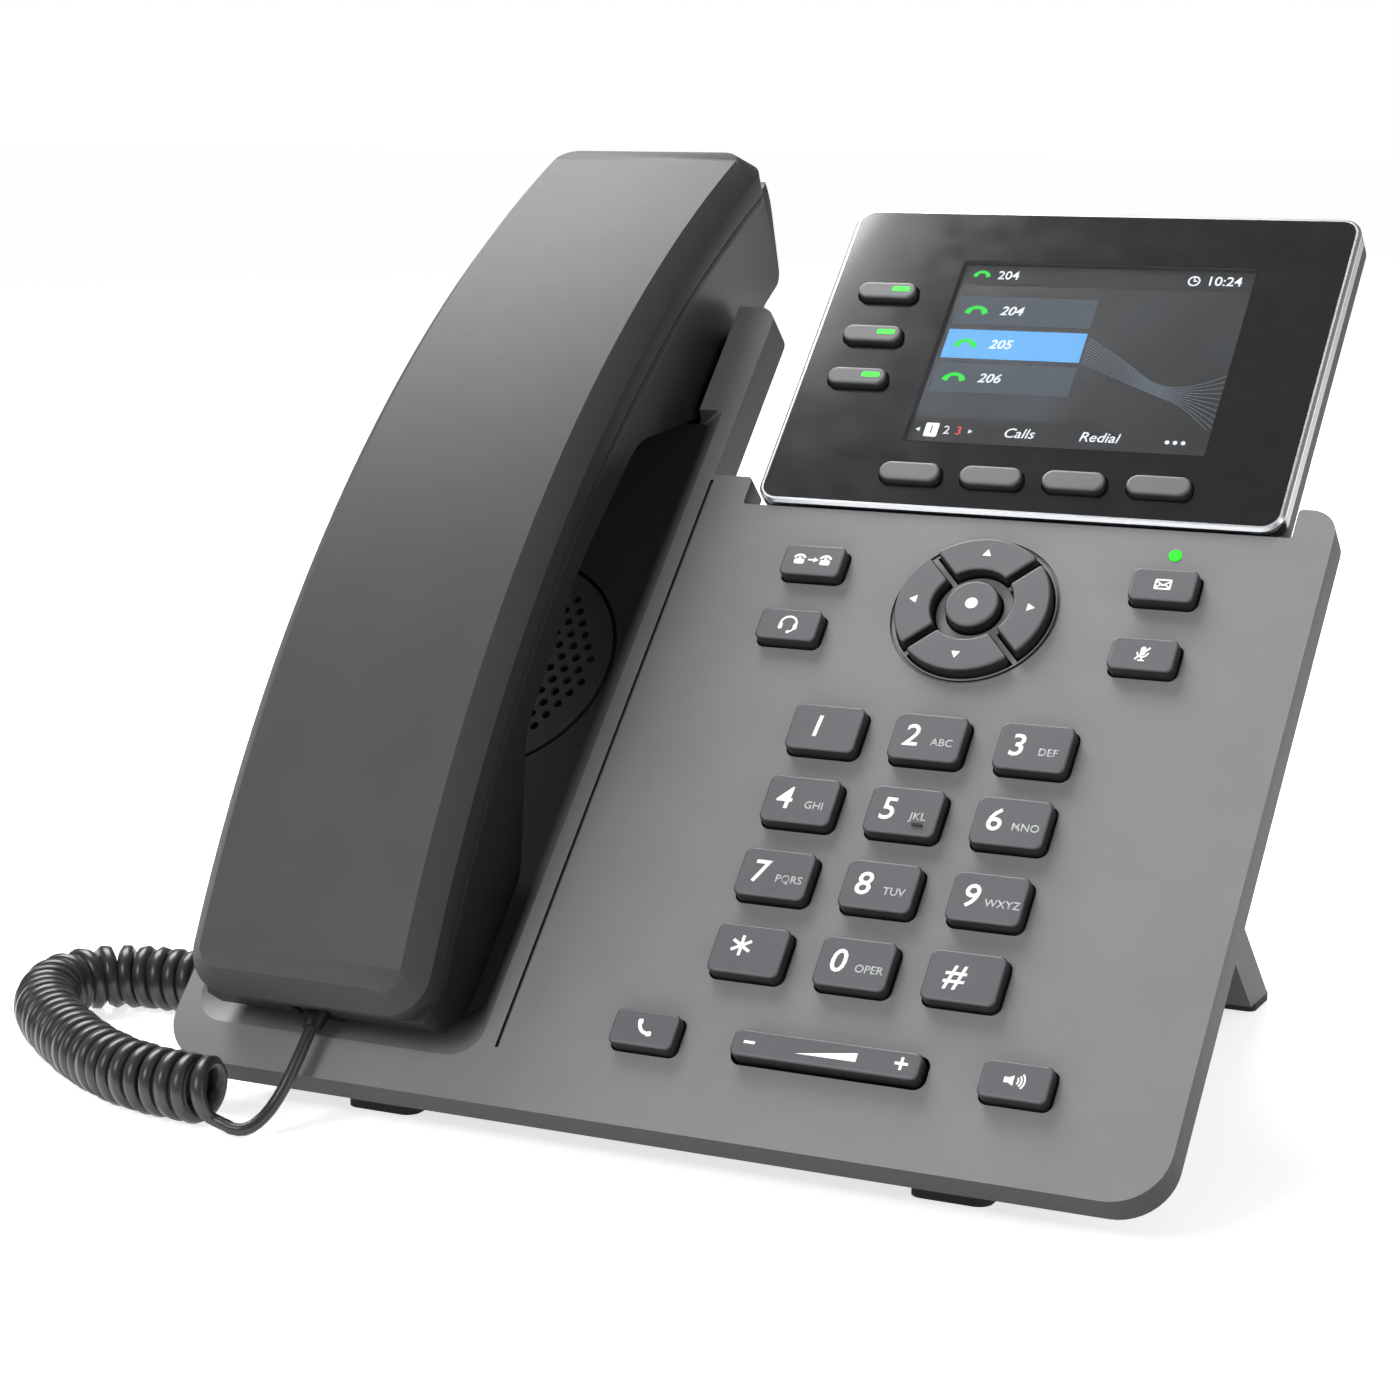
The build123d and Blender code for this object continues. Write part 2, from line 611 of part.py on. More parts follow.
speaker_front = -pad_depth - grille_flange_thickness
speaker_radius = 24.0
with BuildPart() as loudspeaker:
    with BuildSketch(side_plane(handset_u)):
        with BuildLine():
            Polyline((grille_v, speaker_front - 5.5), (grille_v + 6, speaker_front - 4),
                     (grille_v + speaker_radius - 4, speaker_front), (grille_v + speaker_radius, speaker_front),
                     (grille_v + speaker_radius, speaker_front - 1.2), (grille_v + speaker_radius - 3, speaker_front - 1.6),
                     (grille_v + 13, speaker_front - 7), (grille_v + 11, speaker_front - 7),
                     (grille_v + 11, speaker_front - 12), (grille_v, speaker_front - 12), close=True)
        make_face()
    revolve(axis=Axis(deck_point(handset_u, grille_v, 0), deck_plane().z_dir))
save(loudspeaker, "loudspeaker")

# ---- boards, key mat, jacks ----
board_left, board_right, board_low, board_high = -28.0, 83.0, 12.0, 121.0
extension_left, extension_high = -83.0, 56.0
board_bottom = board_top - board_thickness
with BuildPart() as main_board:
    with BuildSketch(deck_plane(board_top)):
        make_face(outline([(extension_left, board_low, 9), (board_right, board_low, 9), (board_right, board_high, 4),
                           (board_left, board_high, 4), (board_left, extension_high, 1),
                           (extension_left, extension_high, 3)]))
    extrude(amount=-board_thickness)
    with BuildSketch(deck_plane(board_bottom)):
        with Locations((30, 66)):
            Rectangle(17, 17)
        with Locations((56, 74), (56, 56)):
            Rectangle(9, 13)
        with Locations((14, 40), (60, 30)):
            Rectangle(7, 7)
    extrude(amount=-1.4)
    with BuildSketch(deck_plane(board_bottom)):
        with Locations((40, 38), (-40, 44), (70, 100)):
            Circle(3.2)
    extrude(amount=-7)
    with BuildSketch(deck_plane(board_top + 1)):
        with Locations(*screw_places):
            Circle(boss_radius + 0.6)
        with Locations((handset_u, plunger_v)):
            Circle(3.8)
    extrude(amount=-board_thickness - 2, mode=Mode.SUBTRACT)
save(main_board, "main_board")

with BuildPart() as key_mat:
    with BuildSketch(deck_plane(mat_top)):
        make_face(outline([(-24, 9.5, 8), (83, 9.5, 8), (83, 122.5, 3), (-24, 122.5, 3)]))
        with Locations(*screw_places):
            Circle(boss_radius + 0.5, mode=Mode.SUBTRACT)
    extrude(amount=board_top - mat_top)
save(key_mat, "key_mat")

jack_face_v = bay_top - 0.2
with BuildPart() as network_jacks:
    with BuildSketch(slope_plane(jack_face_v)):
        with Locations(*[(u, rear_jack_w - rj45_size[1] / 2) for u in rj45_u]):
            Rectangle(*rj45_size)
    extrude(amount=18)
    with BuildSketch(slope_plane(jack_face_v)):
        with Locations(*[(u, rear_jack_w - rj45_size[1] / 2) for u in rj45_u]):
            Rectangle(11.8, 8.6)
    extrude(amount=13, mode=Mode.SUBTRACT)
save(network_jacks, "network_jacks")

with BuildPart() as power_jack:
    with BuildSketch(slope_plane(jack_face_v)):
        with Locations((power_u, rear_jack_w - power_size[1] / 2)):
            Rectangle(*power_size)
    extrude(amount=13)
    with BuildSketch(slope_plane(jack_face_v)):
        with Locations((power_u, rear_jack_w - power_size[1] / 2)):
            Circle(3.2)
            Circle(1.0, mode=Mode.SUBTRACT)
    extrude(amount=10, mode=Mode.SUBTRACT)
save(power_jack, "power_jack")

audio_cavity = (7.9, 7.4)
audio_face_w = -belly_depth + 0.2
with BuildPart() as audio_jacks:
    with BuildSketch(deck_plane(audio_face_w)):
        with Locations(*[(u, jack_v) for u in jack_u]):
            Rectangle(audio_jack_size, audio_jack_size)
    extrude(amount=board_bottom - audio_face_w)
    with BuildSketch(deck_plane(audio_face_w)):
        with Locations(*[(u, jack_v) for u in jack_u]):
            Rectangle(*audio_cavity)
    extrude(amount=12.5, mode=Mode.SUBTRACT)
save(audio_jacks, "audio_jacks")

# ---- hook switch ----
plunger_rise = 3.0
plunger_top = -trough_depth
collar_top = -pad_depth - plunger_rise - fit_gap
plunger_bottom = collar_top - 2.2
with BuildPart() as hook_plunger:
    with BuildSketch(deck_plane(plunger_top, handset_u, plunger_v)):
        Circle(plunger_radius)
    extrude(amount=plunger_bottom - plunger_top)
    fillet(hook_plunger.faces().sort_by(Axis((0, 0, 0), deck_plane().z_dir))[-1].edges(), 0.8)
    with BuildSketch(deck_plane(collar_top, handset_u, plunger_v)):
        Circle(plunger_radius + 1.2)
    extrude(amount=-1.2)
save(hook_plunger, "hook_plunger")

switch_top = plunger_bottom - fit_gap
with BuildPart() as hook_microswitch:
    with BuildSketch(deck_plane(switch_top - 0.5, handset_u, plunger_v)):
        Rectangle(12.8, 5.8)
    extrude(amount=-(18.5 + switch_top - 0.5))
    with BuildSketch(deck_plane(switch_top - 0.5, handset_u, plunger_v)):
        Circle(1.0)
    extrude(amount=0.5)
save(hook_microswitch, "hook_microswitch")

# ---- handset ----
parting_gap = 0.15


def crown_ring(half_width, near, far, end_inset, corner):
    """A curved bar under the handset's crown between two depths, with rounded corners."""
    inset_angle = end_inset / crown_radius
    middle = crown_radius - (near + far) / 2
    with BuildPart() as ring:
        with BuildSketch(crown_plane(mouth_angle + inset_angle)):
            with Locations((0, middle)):
                Rectangle(2 * half_width, far - near)
        revolve(axis=crown_axis, revolution_arc=crown_sweep - 2 * degrees(inset_angle))
        if corner:
            ends = ring.faces().sort_by(Axis((0, 0, 0), (0, cos(tilt), sin(tilt))))
            uprights = [edge for end in (ends[0], ends[-1]) for edge in end.edges() if edge.length < half_width]
            fillet(uprights, corner)
    return ring.part


with BuildPart() as handset_back_shell:
    add(crown_ring(back_half_width, 0, back_depth, 0, back_corner))
    crown = handset_back_shell.faces().filter_by(GeomType.CYLINDER).sort_by(SortBy.AREA)[-1]
    chamfer(crown.edges(), (crown_chamfer_in + crown_chamfer_down) / 2)
    add(crown_ring(back_half_width - back_side_wall, back_wall, back_depth + 1, back_side_wall + 1, 0),
        mode=Mode.SUBTRACT)
save(handset_back_shell, "handset_back_shell")

ear_top_v, ear_top_w = crown_point(ear_angle, back_depth + parting_gap)
mouth_top_v, mouth_top_w = crown_point(mouth_angle, back_depth + parting_gap)
arc_middle = crown_point(0, back_depth + parting_gap)
cup_floor = -trough_depth + fit_gap
ear_cup_low = (187.0, -11.5)
ear_cup_near = (155.0, -7.3)
underside = [
    (ear_top_v, ear_top_w), (194.5, -13.5), ear_cup_low, ear_cup_near, (131.0, 14.0), (100.0, 17.0),
    (66.0, 13.0), (46.0, cup_floor), (20.0, cup_floor), (11.0, 1.5), (mouth_top_v, mouth_top_w),
]
underside_radii = [3, 6, 8, 12, 60, 12, 8, 3, 2]
cord_exit_u = -61.8
cord_exit_w = 3.6


def handset_body(inset):
    """The handset's lower body, or the hollow inside it for a wall of the given thickness."""
    with BuildPart() as body:
        with BuildSketch(side_plane(handset_u)):
            with BuildLine():
                FilletPolyline(*underside, radius=underside_radii)
                ThreePointArc(underside[-1], arc_middle, underside[0])
            make_face()
            if inset:
                offset(amount=-inset)
        extrude(amount=front_half_width - inset, both=True)
        with BuildSketch(deck_plane(-30, handset_u, (mouth_end_v + ear_end_v) / 2)):
            RectangleRounded(2 * (front_half_width - inset), ear_end_v - mouth_end_v + 2, 7)
        extrude(amount=80, mode=Mode.INTERSECT)
    return body.part


ear_lean = -radians(7.5)
ear_middle = ((ear_cup_low[0] + ear_cup_near[0]) / 2, (ear_cup_low[1] + ear_cup_near[1]) / 2)


def ear_plane(height):
    """Plane parallel to the earpiece's face at a height inside it."""
    lean = -ear_lean - tilt
    origin = deck_point(handset_u, ear_middle[0] - height * sin(ear_lean), ear_middle[1] + height * cos(ear_lean))
    return Plane(origin=origin, x_dir=(1, 0, 0), z_dir=(0, sin(lean), cos(lean)))


with BuildPart() as handset_front_shell:
    add(handset_body(0))
    add(crown_ring(back_half_width, back_depth + parting_gap, back_depth + parting_gap + band_depth, 0, back_corner))
    add(handset_body(front_wall), mode=Mode.SUBTRACT)
    add(crown_ring(back_half_width - back_side_wall, back_depth, back_depth + parting_gap + band_depth + 1.5,
                   back_side_wall + 1, 0), mode=Mode.SUBTRACT)
    with BuildSketch(ear_plane(-1)):
        Circle(1.0)
        with PolarLocations(5.5, 8):
            Circle(1.0)
    extrude(amount=front_wall + 2, mode=Mode.SUBTRACT)
    with BuildSketch(deck_plane(cup_floor - 1, handset_u, 33)):
        with GridLocations(3, 0, 3, 1):
            SlotOverall(5, 1.2, rotation=90)
    extrude(amount=front_wall + 2, mode=Mode.SUBTRACT)
    with BuildSketch(slope_plane(21.2)):
        with Locations((cord_exit_u, cord_exit_w)):
            Rectangle(8.0, 6.6)
    extrude(amount=16, mode=Mode.SUBTRACT)
save(handset_front_shell, "handset_front_shell")

with BuildPart() as handset_receiver:
    with BuildSketch(ear_plane(front_wall + 0.15)):
        Circle(12.0)
    extrude(amount=5)
    with BuildSketch(ear_plane(front_wall + 5.15)):
        Circle(8.5)
    extrude(amount=2)
save(handset_receiver, "handset_receiver")

with BuildPart() as handset_microphone:
    with BuildSketch(deck_plane(cup_floor + front_wall + 0.1, handset_u, 33)):
        Circle(4.8)
    extrude(amount=3)
save(handset_microphone, "handset_microphone")

plug_tip_v = 20.8
boot_start_v = 11.0
boot_end_v = 7.5
with BuildPart() as handset_plug:
    with BuildSketch(slope_plane(plug_tip_v)):
        with Locations((cord_exit_u, cord_exit_w)):
            Rectangle(7.6, 6.2)
    extrude(amount=plug_tip_v - boot_start_v)
    with BuildSketch(slope_plane(boot_start_v)):
        with Locations((cord_exit_u, cord_exit_w)):
            Circle(2.3)
    extrude(amount=boot_start_v - boot_end_v, taper=8)
save(handset_plug, "handset_plug")

# ---- stand, feet, screws ----
with BuildPart() as stand:
    with BuildSketch(deck_plane(-belly_depth)):
        with Locations((0, stand_rear_v - stand_wall / 2)):
            Rectangle(2 * stand_half_width, stand_wall)
        for side in (-1, 1):
            with Locations((side * (stand_half_width - stand_wall / 2), stand_rear_v - stand_flange / 2)):
                Rectangle(stand_wall, stand_flange)
            with Locations((side * 26, stand_rear_v - stand_flange / 2)):
                Rectangle(stand_wall, stand_flange)
    extrude(amount=heel_w + belly_depth - 2)
    with BuildSketch(deck_plane(-belly_depth)):
        with Locations((0, stand_rear_v - 3)):
            RectangleRounded(112, 22, 3)
    extrude(amount=-2.6)
    with BuildSketch(deck_plane(heel_w + 22)):
        for side in (-1, 1):
            with Locations((side * (stand_half_width - 5), stand_rear_v - stand_flange / 2)):
                Rectangle(10, stand_flange)
    extrude(amount=-24)
    with BuildSketch(slope_plane(stand_rear_v + 2)):
        with Locations((0, -62)):
            RectangleRounded(44, 34, 4)
    extrude(amount=stand_wall + 4, mode=Mode.SUBTRACT)
    with BuildSketch(Plane(origin=desk_point(0, heel_y, foot_pad))):
        Rectangle(300, 120)
    extrude(amount=-60, mode=Mode.SUBTRACT)
save(stand, "stand")

with BuildPart() as rubber_feet:
    with BuildSketch(Plane(origin=desk_point(0, 0, 0))):
        for side in (-1, 1):
            with Locations((side * front_foot_x, front_foot_y + front_foot_length / 2)):
                RectangleRounded(front_foot_width - 1, front_foot_length - 1, 2.5)
            with Locations((side * (stand_half_width - 5), heel_y - 5.5)):
                RectangleRounded(10, 11, 1.5)
    extrude(amount=foot_pad)
save(rubber_feet, "rubber_feet")

screw_head_w = -belly_depth + 0.2
with BuildPart() as case_screws:
    with BuildSketch(deck_plane(screw_head_w)):
        with Locations(*screw_places):
            Circle(screw_head_radius)
    extrude(amount=screw_head_height)
    with BuildSketch(deck_plane(screw_head_w)):
        with Locations(*screw_places):
            Circle(screw_radius)
    extrude(amount=-screw_head_w - 4.5)
    with BuildSketch(deck_plane(screw_head_w)):
        with Locations(*screw_places):
            Rectangle(3.0, 0.6)
            Rectangle(0.6, 3.0)
    extrude(amount=0.8, mode=Mode.SUBTRACT)
save(case_screws, "case_screws")

# ---- cord: plug and lead at the base, curly coil, lead at the handset ----
base_boot_w = -belly_depth - 9.0
with BuildPart() as cord_base_plug:
    with BuildSketch(deck_plane(-belly_depth - 0.5, jack_u[0], jack_v)):
        Rectangle(audio_cavity[0] - 0.4, audio_cavity[1] - 0.4)
    extrude(amount=11.5)
    with BuildSketch(deck_plane(-belly_depth - 0.5, jack_u[0], jack_v)):
        Circle(2.6)
    extrude(amount=base_boot_w + belly_depth + 0.5, taper=7)
save(cord_base_plug, "cord_base_plug")

wire_floor = cord_diameter / 2 + 0.1
coil_z = coil_diameter / 2 + 0.05
coil_route = [
    desk_point(-77.0, -9.5, coil_z), desk_point(-89.5, -8.5, coil_z), desk_point(-105.0, -1.5, coil_z),
    desk_point(-120.5, 9.5, coil_z), desk_point(-133.5, 21.0, coil_z), desk_point(-140.0, 34.0, coil_z),
    desk_point(-134.5, 44.5, coil_z), desk_point(-121.0, 47.0, coil_z), desk_point(-105.5, 47.5, coil_z),
    desk_point(-90.0, 51.0, coil_z), desk_point(-75.0, 56.0, coil_z), desk_point(-60.0, 59.5, coil_z),
    desk_point(-46.0, 60.5, coil_z), desk_point(-32.0, 60.0, coil_z),
]
handset_lead_route = [
    deck_point(cord_exit_u, boot_end_v, cord_exit_w), deck_point(cord_exit_u, boot_end_v - 8.0, cord_exit_w),
    desk_point(-63.6, -6.8, 4.8), desk_point(-66.0, -10.8, 1.9), desk_point(-70.5, -13.3, wire_floor),
    desk_point(-77.0, -12.6, 2.3),
]
base_lead_route = [
    deck_point(jack_u[0], jack_v, base_boot_w), deck_point(jack_u[0], jack_v, base_boot_w - 9.5),
    desk_point(-15.5, 86.5, 18.0), desk_point(-14.5, 86.5, 9.5), desk_point(-13.5, 81.0, 2.8),
    desk_point(-15.0, 71.0, wire_floor), desk_point(-21.5, 63.0, wire_floor), desk_point(-31.5, 59.7, wire_floor),
]


def cord_tube(route, diameter, name):
    """A round tube along straight runs joined by tangent arcs as large as the runs allow."""
    points = [Vector(*point) for point in route]
    runs = [after - before for before, after in zip(points, points[1:])]
    radii = []
    for before, after in zip(runs, runs[1:]):
        half_turn = radians(before.get_angle(after)) / 2
        radii.append(0.45 * min(before.length, after.length) / tan(half_turn))
    print(name, "radii", [round(radius, 1) for radius in radii])
    with BuildPart() as tube:
        with BuildLine() as path:
            FilletPolyline(*points, radius=radii)
        with BuildSketch(Plane(origin=path.line @ 0, z_dir=path.line % 0)):
            Circle(diameter / 2)
        sweep(path=path.line)
    length = sum(edge.length for edge in path.edges())
    full = 3.14159265 * diameter ** 2 / 4 * length
    print(name, "length", round(length, 1), "volume over section times length", round(tube.part.volume / full, 4))
    save(tube, name)


cord_tube(handset_lead_route, cord_diameter, "cord_handset_lead")
cord_tube(coil_route, coil_diameter, "cord_coil")
cord_tube(base_lead_route, cord_diameter, "cord_base_lead")
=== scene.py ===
"""Looks of a desk telephone: moulded finishes, printed legends, lit display, curly cord and studio."""
import logging
import math
from dataclasses import dataclass, field
from enum import Enum

import bmesh
import bpy
from mathutils import Matrix, Vector


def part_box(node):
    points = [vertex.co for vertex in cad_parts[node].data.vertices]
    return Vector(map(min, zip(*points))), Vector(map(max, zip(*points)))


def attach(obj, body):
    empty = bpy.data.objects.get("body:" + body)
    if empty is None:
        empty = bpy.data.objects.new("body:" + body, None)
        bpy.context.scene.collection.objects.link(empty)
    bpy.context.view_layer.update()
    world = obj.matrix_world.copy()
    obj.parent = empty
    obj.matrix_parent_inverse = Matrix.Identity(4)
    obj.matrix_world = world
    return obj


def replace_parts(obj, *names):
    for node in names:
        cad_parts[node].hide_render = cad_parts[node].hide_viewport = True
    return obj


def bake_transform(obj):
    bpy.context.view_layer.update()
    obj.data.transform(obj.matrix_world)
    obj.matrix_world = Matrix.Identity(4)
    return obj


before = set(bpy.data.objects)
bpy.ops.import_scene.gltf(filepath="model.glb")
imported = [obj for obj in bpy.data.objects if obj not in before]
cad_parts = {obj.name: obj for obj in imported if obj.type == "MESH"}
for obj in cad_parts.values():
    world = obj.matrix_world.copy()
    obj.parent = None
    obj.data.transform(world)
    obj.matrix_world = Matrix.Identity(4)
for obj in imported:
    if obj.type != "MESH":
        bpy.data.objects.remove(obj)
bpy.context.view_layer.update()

MM = 0.001
log = logging.getLogger("desk_telephone")


def linear(code: str) -> tuple[float, float, float, float]:
    """Turn an sRGB hex colour into linear RGBA.

    Args:
        code: colour as "#rrggbb".

    Returns:
        Linear red, green and blue with an alpha of 1.
    """
    parts = [int(code[i:i + 2], 16) / 255 for i in (1, 3, 5)]
    bent = [p / 12.92 if p <= 0.04045 else ((p + 0.055) / 1.055) ** 2.4 for p in parts]
    return (*bent, 1.0)


def add_node(tree: bpy.types.NodeTree, kind: str, settings: dict | None = None,
             links: dict | None = None) -> bpy.types.Node:
    """Add one shader node with its settings and what feeds it.

    Args:
        tree: node tree that the node joins.
        kind: node type name.
        settings: property or input name (or input index) to value.
        links: input name (or index) to the socket that feeds it.

    Returns:
        The new node.
    """
    node = tree.nodes.new(kind)
    for name, value in (settings or {}).items():
        if isinstance(name, str) and hasattr(node, name):
            setattr(node, name, value)
        else:
            node.inputs[name].default_value = value
    for name, source in (links or {}).items():
        tree.links.new(source, node.inputs[name])
    return node


def object_noise(tree: bpy.types.NodeTree, size_mm: float, detail: float = 2.0) -> bpy.types.NodeSocket:
    """Noise on object coordinates with features of a real size.

    Args:
        tree: node tree.
        size_mm: size of one feature in millimetres.
        detail: octaves of the noise.

    Returns:
        The noise's factor socket.
    """
    place = add_node(tree, "ShaderNodeTexCoord")
    noise = add_node(tree, "ShaderNodeTexNoise", {"Scale": 1 / (size_mm * MM), "Detail": detail},
                     {"Vector": place.outputs["Object"]})
    return noise.outputs["Fac"]


@dataclass(frozen=True)
class Surface:
    """A finish named for its real material, shaded once and shared by the pieces that wear it."""

    name: str

    def material(self) -> bpy.types.Material:
        """Node material of this finish, made on first use."""
        known = bpy.data.materials.get(self.name)
        if known:
            return known
        material = bpy.data.materials.new(self.name)
        material.use_nodes = True
        tree = material.node_tree
        tree.nodes.clear()
        output = add_node(tree, "ShaderNodeOutputMaterial")
        tree.links.new(self.shade(tree).outputs[0], output.inputs["Surface"])
        return material

    def shade(self, tree: bpy.types.NodeTree) -> bpy.types.Node:
        """Build the shader in the tree and return it; each kind of finish has its own."""
        raise NotImplementedError


@dataclass(frozen=True)
class MouldedPlastic(Surface):
    """Injection-moulded plastic whose tool was spark-eroded or polished.

    The tool's grain gives a soft, slightly broken highlight, and the pigment's
    flow lines give a cloudiness that is barely darker than the face. A flank
    colour darkens steep faces: bare moulding where only the top is sprayed, and
    painted shade on other faces. A hollow colour darkens faces with their depth
    below the deck, as painted shade.
    """

    face: str
    cloud: str
    roughness: float
    grain_mm: float = 0.45
    relief_mm: float = 0.012
    coat: float = 0.0
    coat_roughness: float = 0.05
    ior: float = 1.5
    flank_and_shade: str | None = None
    flank_and_shade_ends: float = 0.92
    flank_and_shade_fade: float = 0.37
    hollow_shade: str | None = None
    hollow_shade_mm: tuple[float, float] = (3.1, 0.3)

    def shade(self, tree: bpy.types.NodeTree) -> bpy.types.Node:
        """Pigment with faint flow clouds, under the grain of its tool."""
        cloudiness = add_node(tree, "ShaderNodeMapRange", {"From Min": 0.35, "From Max": 0.65},
                              {"Value": object_noise(tree, 14.0)})
        pigment = {"data_type": "RGBA", 6: linear(self.cloud), 7: linear(self.face)}
        colour = add_node(tree, "ShaderNodeMix", pigment, {0: cloudiness.outputs["Result"]}).outputs[2]
        # Painted shade: faces below the deck's face are darkened with their depth, as shade in the cradle's
        # hollow.
        if self.hollow_shade:
            level = Deck().point(0, 0).dot(Vector(Deck().normal()))
            colour = self._fade(tree, self.hollow_shade, colour, "Object", level - self.hollow_shade_mm[0] * MM,
                                level - self.hollow_shade_mm[1] * MM)
        # Steep faces darkened: bare moulding under top-only paint on the keys and the deck's skirt, painted
        # shade on the handset's chamfers and the walls of the deck's hollow.
        if self.flank_and_shade:
            colour = self._fade(tree, self.flank_and_shade, colour, "Normal", self.flank_and_shade_ends - self.flank_and_shade_fade,
                                self.flank_and_shade_ends)
        grain = object_noise(tree, self.grain_mm, 1.0)
        gloss = add_node(tree, "ShaderNodeMapRange",
                         {"To Min": self.roughness - 0.04, "To Max": self.roughness + 0.05}, {"Value": grain})
        bump = add_node(tree, "ShaderNodeBump", {"Strength": 0.5, "Distance": self.relief_mm * MM},
                        {"Height": grain})
        return add_node(tree, "ShaderNodeBsdfPrincipled",
                        {"IOR": self.ior, "Coat Weight": self.coat, "Coat Roughness": self.coat_roughness},
                        {"Base Color": colour, "Roughness": gloss.outputs["Result"],
                         "Normal": bump.outputs["Normal"]})

    def _fade(self, tree: bpy.types.NodeTree, dark: str, colour: bpy.types.NodeSocket, reading: str,
              start: float, end: float) -> bpy.types.NodeSocket:
        """Fade from a dark colour to the paint along the deck's normal; the dark is bare moulding on some
        faces and painted shade on others.

        Args:
            tree: node tree.
            dark: the dark colour, bare moulding on some faces and painted shade on others.
            colour: the paint's colour socket.
            reading: "Normal" goes by the way a face looks, "Object" by how high it lies.
            start: reading along the deck's normal where the paint begins.
            end: reading from which it covers.

        Returns:
            Colour socket of the two.
        """
        place = add_node(tree, "ShaderNodeTexCoord")
        along = add_node(tree, "ShaderNodeVectorMath", {"operation": "DOT_PRODUCT", 1: Deck().normal()},
                         {0: place.outputs[reading]})
        share = add_node(tree, "ShaderNodeMapRange", {"From Min": start, "From Max": end},
                         {"Value": along.outputs["Value"]})
        mixed = add_node(tree, "ShaderNodeMix", {"data_type": "RGBA", 6: linear(dark)},
                         {0: share.outputs["Result"], 7: colour})
        return mixed.outputs[2]


@dataclass(frozen=True)
class PlainMetal(Surface):
    """Metal part that was drawn, stamped or plated, with fine lines left by its tool."""

    colour: str
    roughness: float
    line_mm: float = 0.2

    def shade(self, tree: bpy.types.NodeTree) -> bpy.types.Node:
        """Bare metal with stretched tool lines in its gloss and relief."""
        place = add_node(tree, "ShaderNodeTexCoord")
        stretch = add_node(tree, "ShaderNodeMapping", {"Scale": (0.08, 1.0, 1.0)},
                           {"Vector": place.outputs["Object"]})
        lines = add_node(tree, "ShaderNodeTexNoise", {"Scale": 1 / (self.line_mm * MM), "Detail": 1.0},
                         {"Vector": stretch.outputs["Vector"]})
        gloss = add_node(tree, "ShaderNodeMapRange",
                         {"To Min": self.roughness - 0.06, "To Max": self.roughness + 0.1},
                         {"Value": lines.outputs["Fac"]})
        bump = add_node(tree, "ShaderNodeBump", {"Strength": 0.25, "Distance": 0.003 * MM},
                        {"Height": lines.outputs["Fac"]})
        return add_node(tree, "ShaderNodeBsdfPrincipled",
                        {"Base Color": linear(self.colour), "Metallic": 1.0},
                        {"Roughness": gloss.outputs["Result"], "Normal": bump.outputs["Normal"]})


@dataclass(frozen=True)
class PrintingInk(Surface):
    """Screen-printed ink, or a lamp behind a window where it glows. Its film is slightly uneven."""

    colour: str
    glow: float = 0.0
    roughness: float = 0.5

    def shade(self, tree: bpy.types.NodeTree) -> bpy.types.Node:
        """Flat colour whose gloss wavers with the film, lit from behind where it glows."""
        film = add_node(tree, "ShaderNodeMapRange",
                        {"To Min": self.roughness - 0.05, "To Max": self.roughness + 0.05},
                        {"Value": object_noise(tree, 0.3)})
        return add_node(tree, "ShaderNodeBsdfPrincipled",
                        {"Base Color": linear(self.colour), "Emission Color": linear(self.colour),
                         "Emission Strength": self.glow}, {"Roughness": film.outputs["Result"]})


@dataclass(frozen=True)
class LitBackdrop(Surface):
    """Backlit liquid crystal panel that shows a dark sky with soft clouds of light."""

    deep: str
    pale: str
    glow: float = 0.85

    def shade(self, tree: bpy.types.NodeTree) -> bpy.types.Node:
        """Soft clouds of light, as large as a thumb, on a dark panel."""
        cloud = add_node(tree, "ShaderNodeMapRange", {"From Min": 0.38, "From Max": 0.68},
                         {"Value": object_noise(tree, 26.0, 1.0)})
        lights = {"data_type": "RGBA", 6: linear(self.deep), 7: linear(self.pale)}
        colour = add_node(tree, "ShaderNodeMix", lights, {0: cloud.outputs["Result"]}).outputs[2]
        return add_node(tree, "ShaderNodeBsdfPrincipled",
                        {"Base Color": linear("#050607"), "Roughness": 0.35, "Emission Strength": self.glow},
                        {"Emission Color": colour})


@dataclass(frozen=True)
class ClearAcrylic(Surface):
    """Polished clear acrylic with an even, mirror-like face."""

    tint: str
    roughness: float = 0.03

    def shade(self, tree: bpy.types.NodeTree) -> bpy.types.Node:
        """Clear acrylic with faint haze from handling."""
        haze = add_node(tree, "ShaderNodeMapRange",
                        {"To Min": self.roughness, "To Max": self.roughness + 0.03},
                        {"Value": object_noise(tree, 9.0)})
        return add_node(tree, "ShaderNodeBsdfPrincipled",
                        {"Base Color": linear(self.tint), "IOR": 1.49, "Transmission Weight": 1.0},
                        {"Roughness": haze.outputs["Result"]})


@dataclass(frozen=True)
class SolderMask(Surface):
    """Glass-epoxy circuit board under green solder mask, with paler tracks that show through it."""

    mask: str
    track: str
    track_mm: float = 1.6

    def shade(self, tree: bpy.types.NodeTree) -> bpy.types.Node:
        """Solder mask with tracks as a brick pattern."""
        place = add_node(tree, "ShaderNodeTexCoord")
        tracks = add_node(tree, "ShaderNodeTexBrick",
                          {"Color1": linear(self.mask), "Color2": linear(self.mask),
                           "Mortar": linear(self.track), "Scale": 1 / (self.track_mm * MM * 4),
                           "Mortar Size": 0.03},
                          {"Vector": place.outputs["Object"]})
        return add_node(tree, "ShaderNodeBsdfPrincipled", {"Roughness": 0.35, "Coat Weight": 0.3},
                        {"Base Color": tracks.outputs["Color"]})


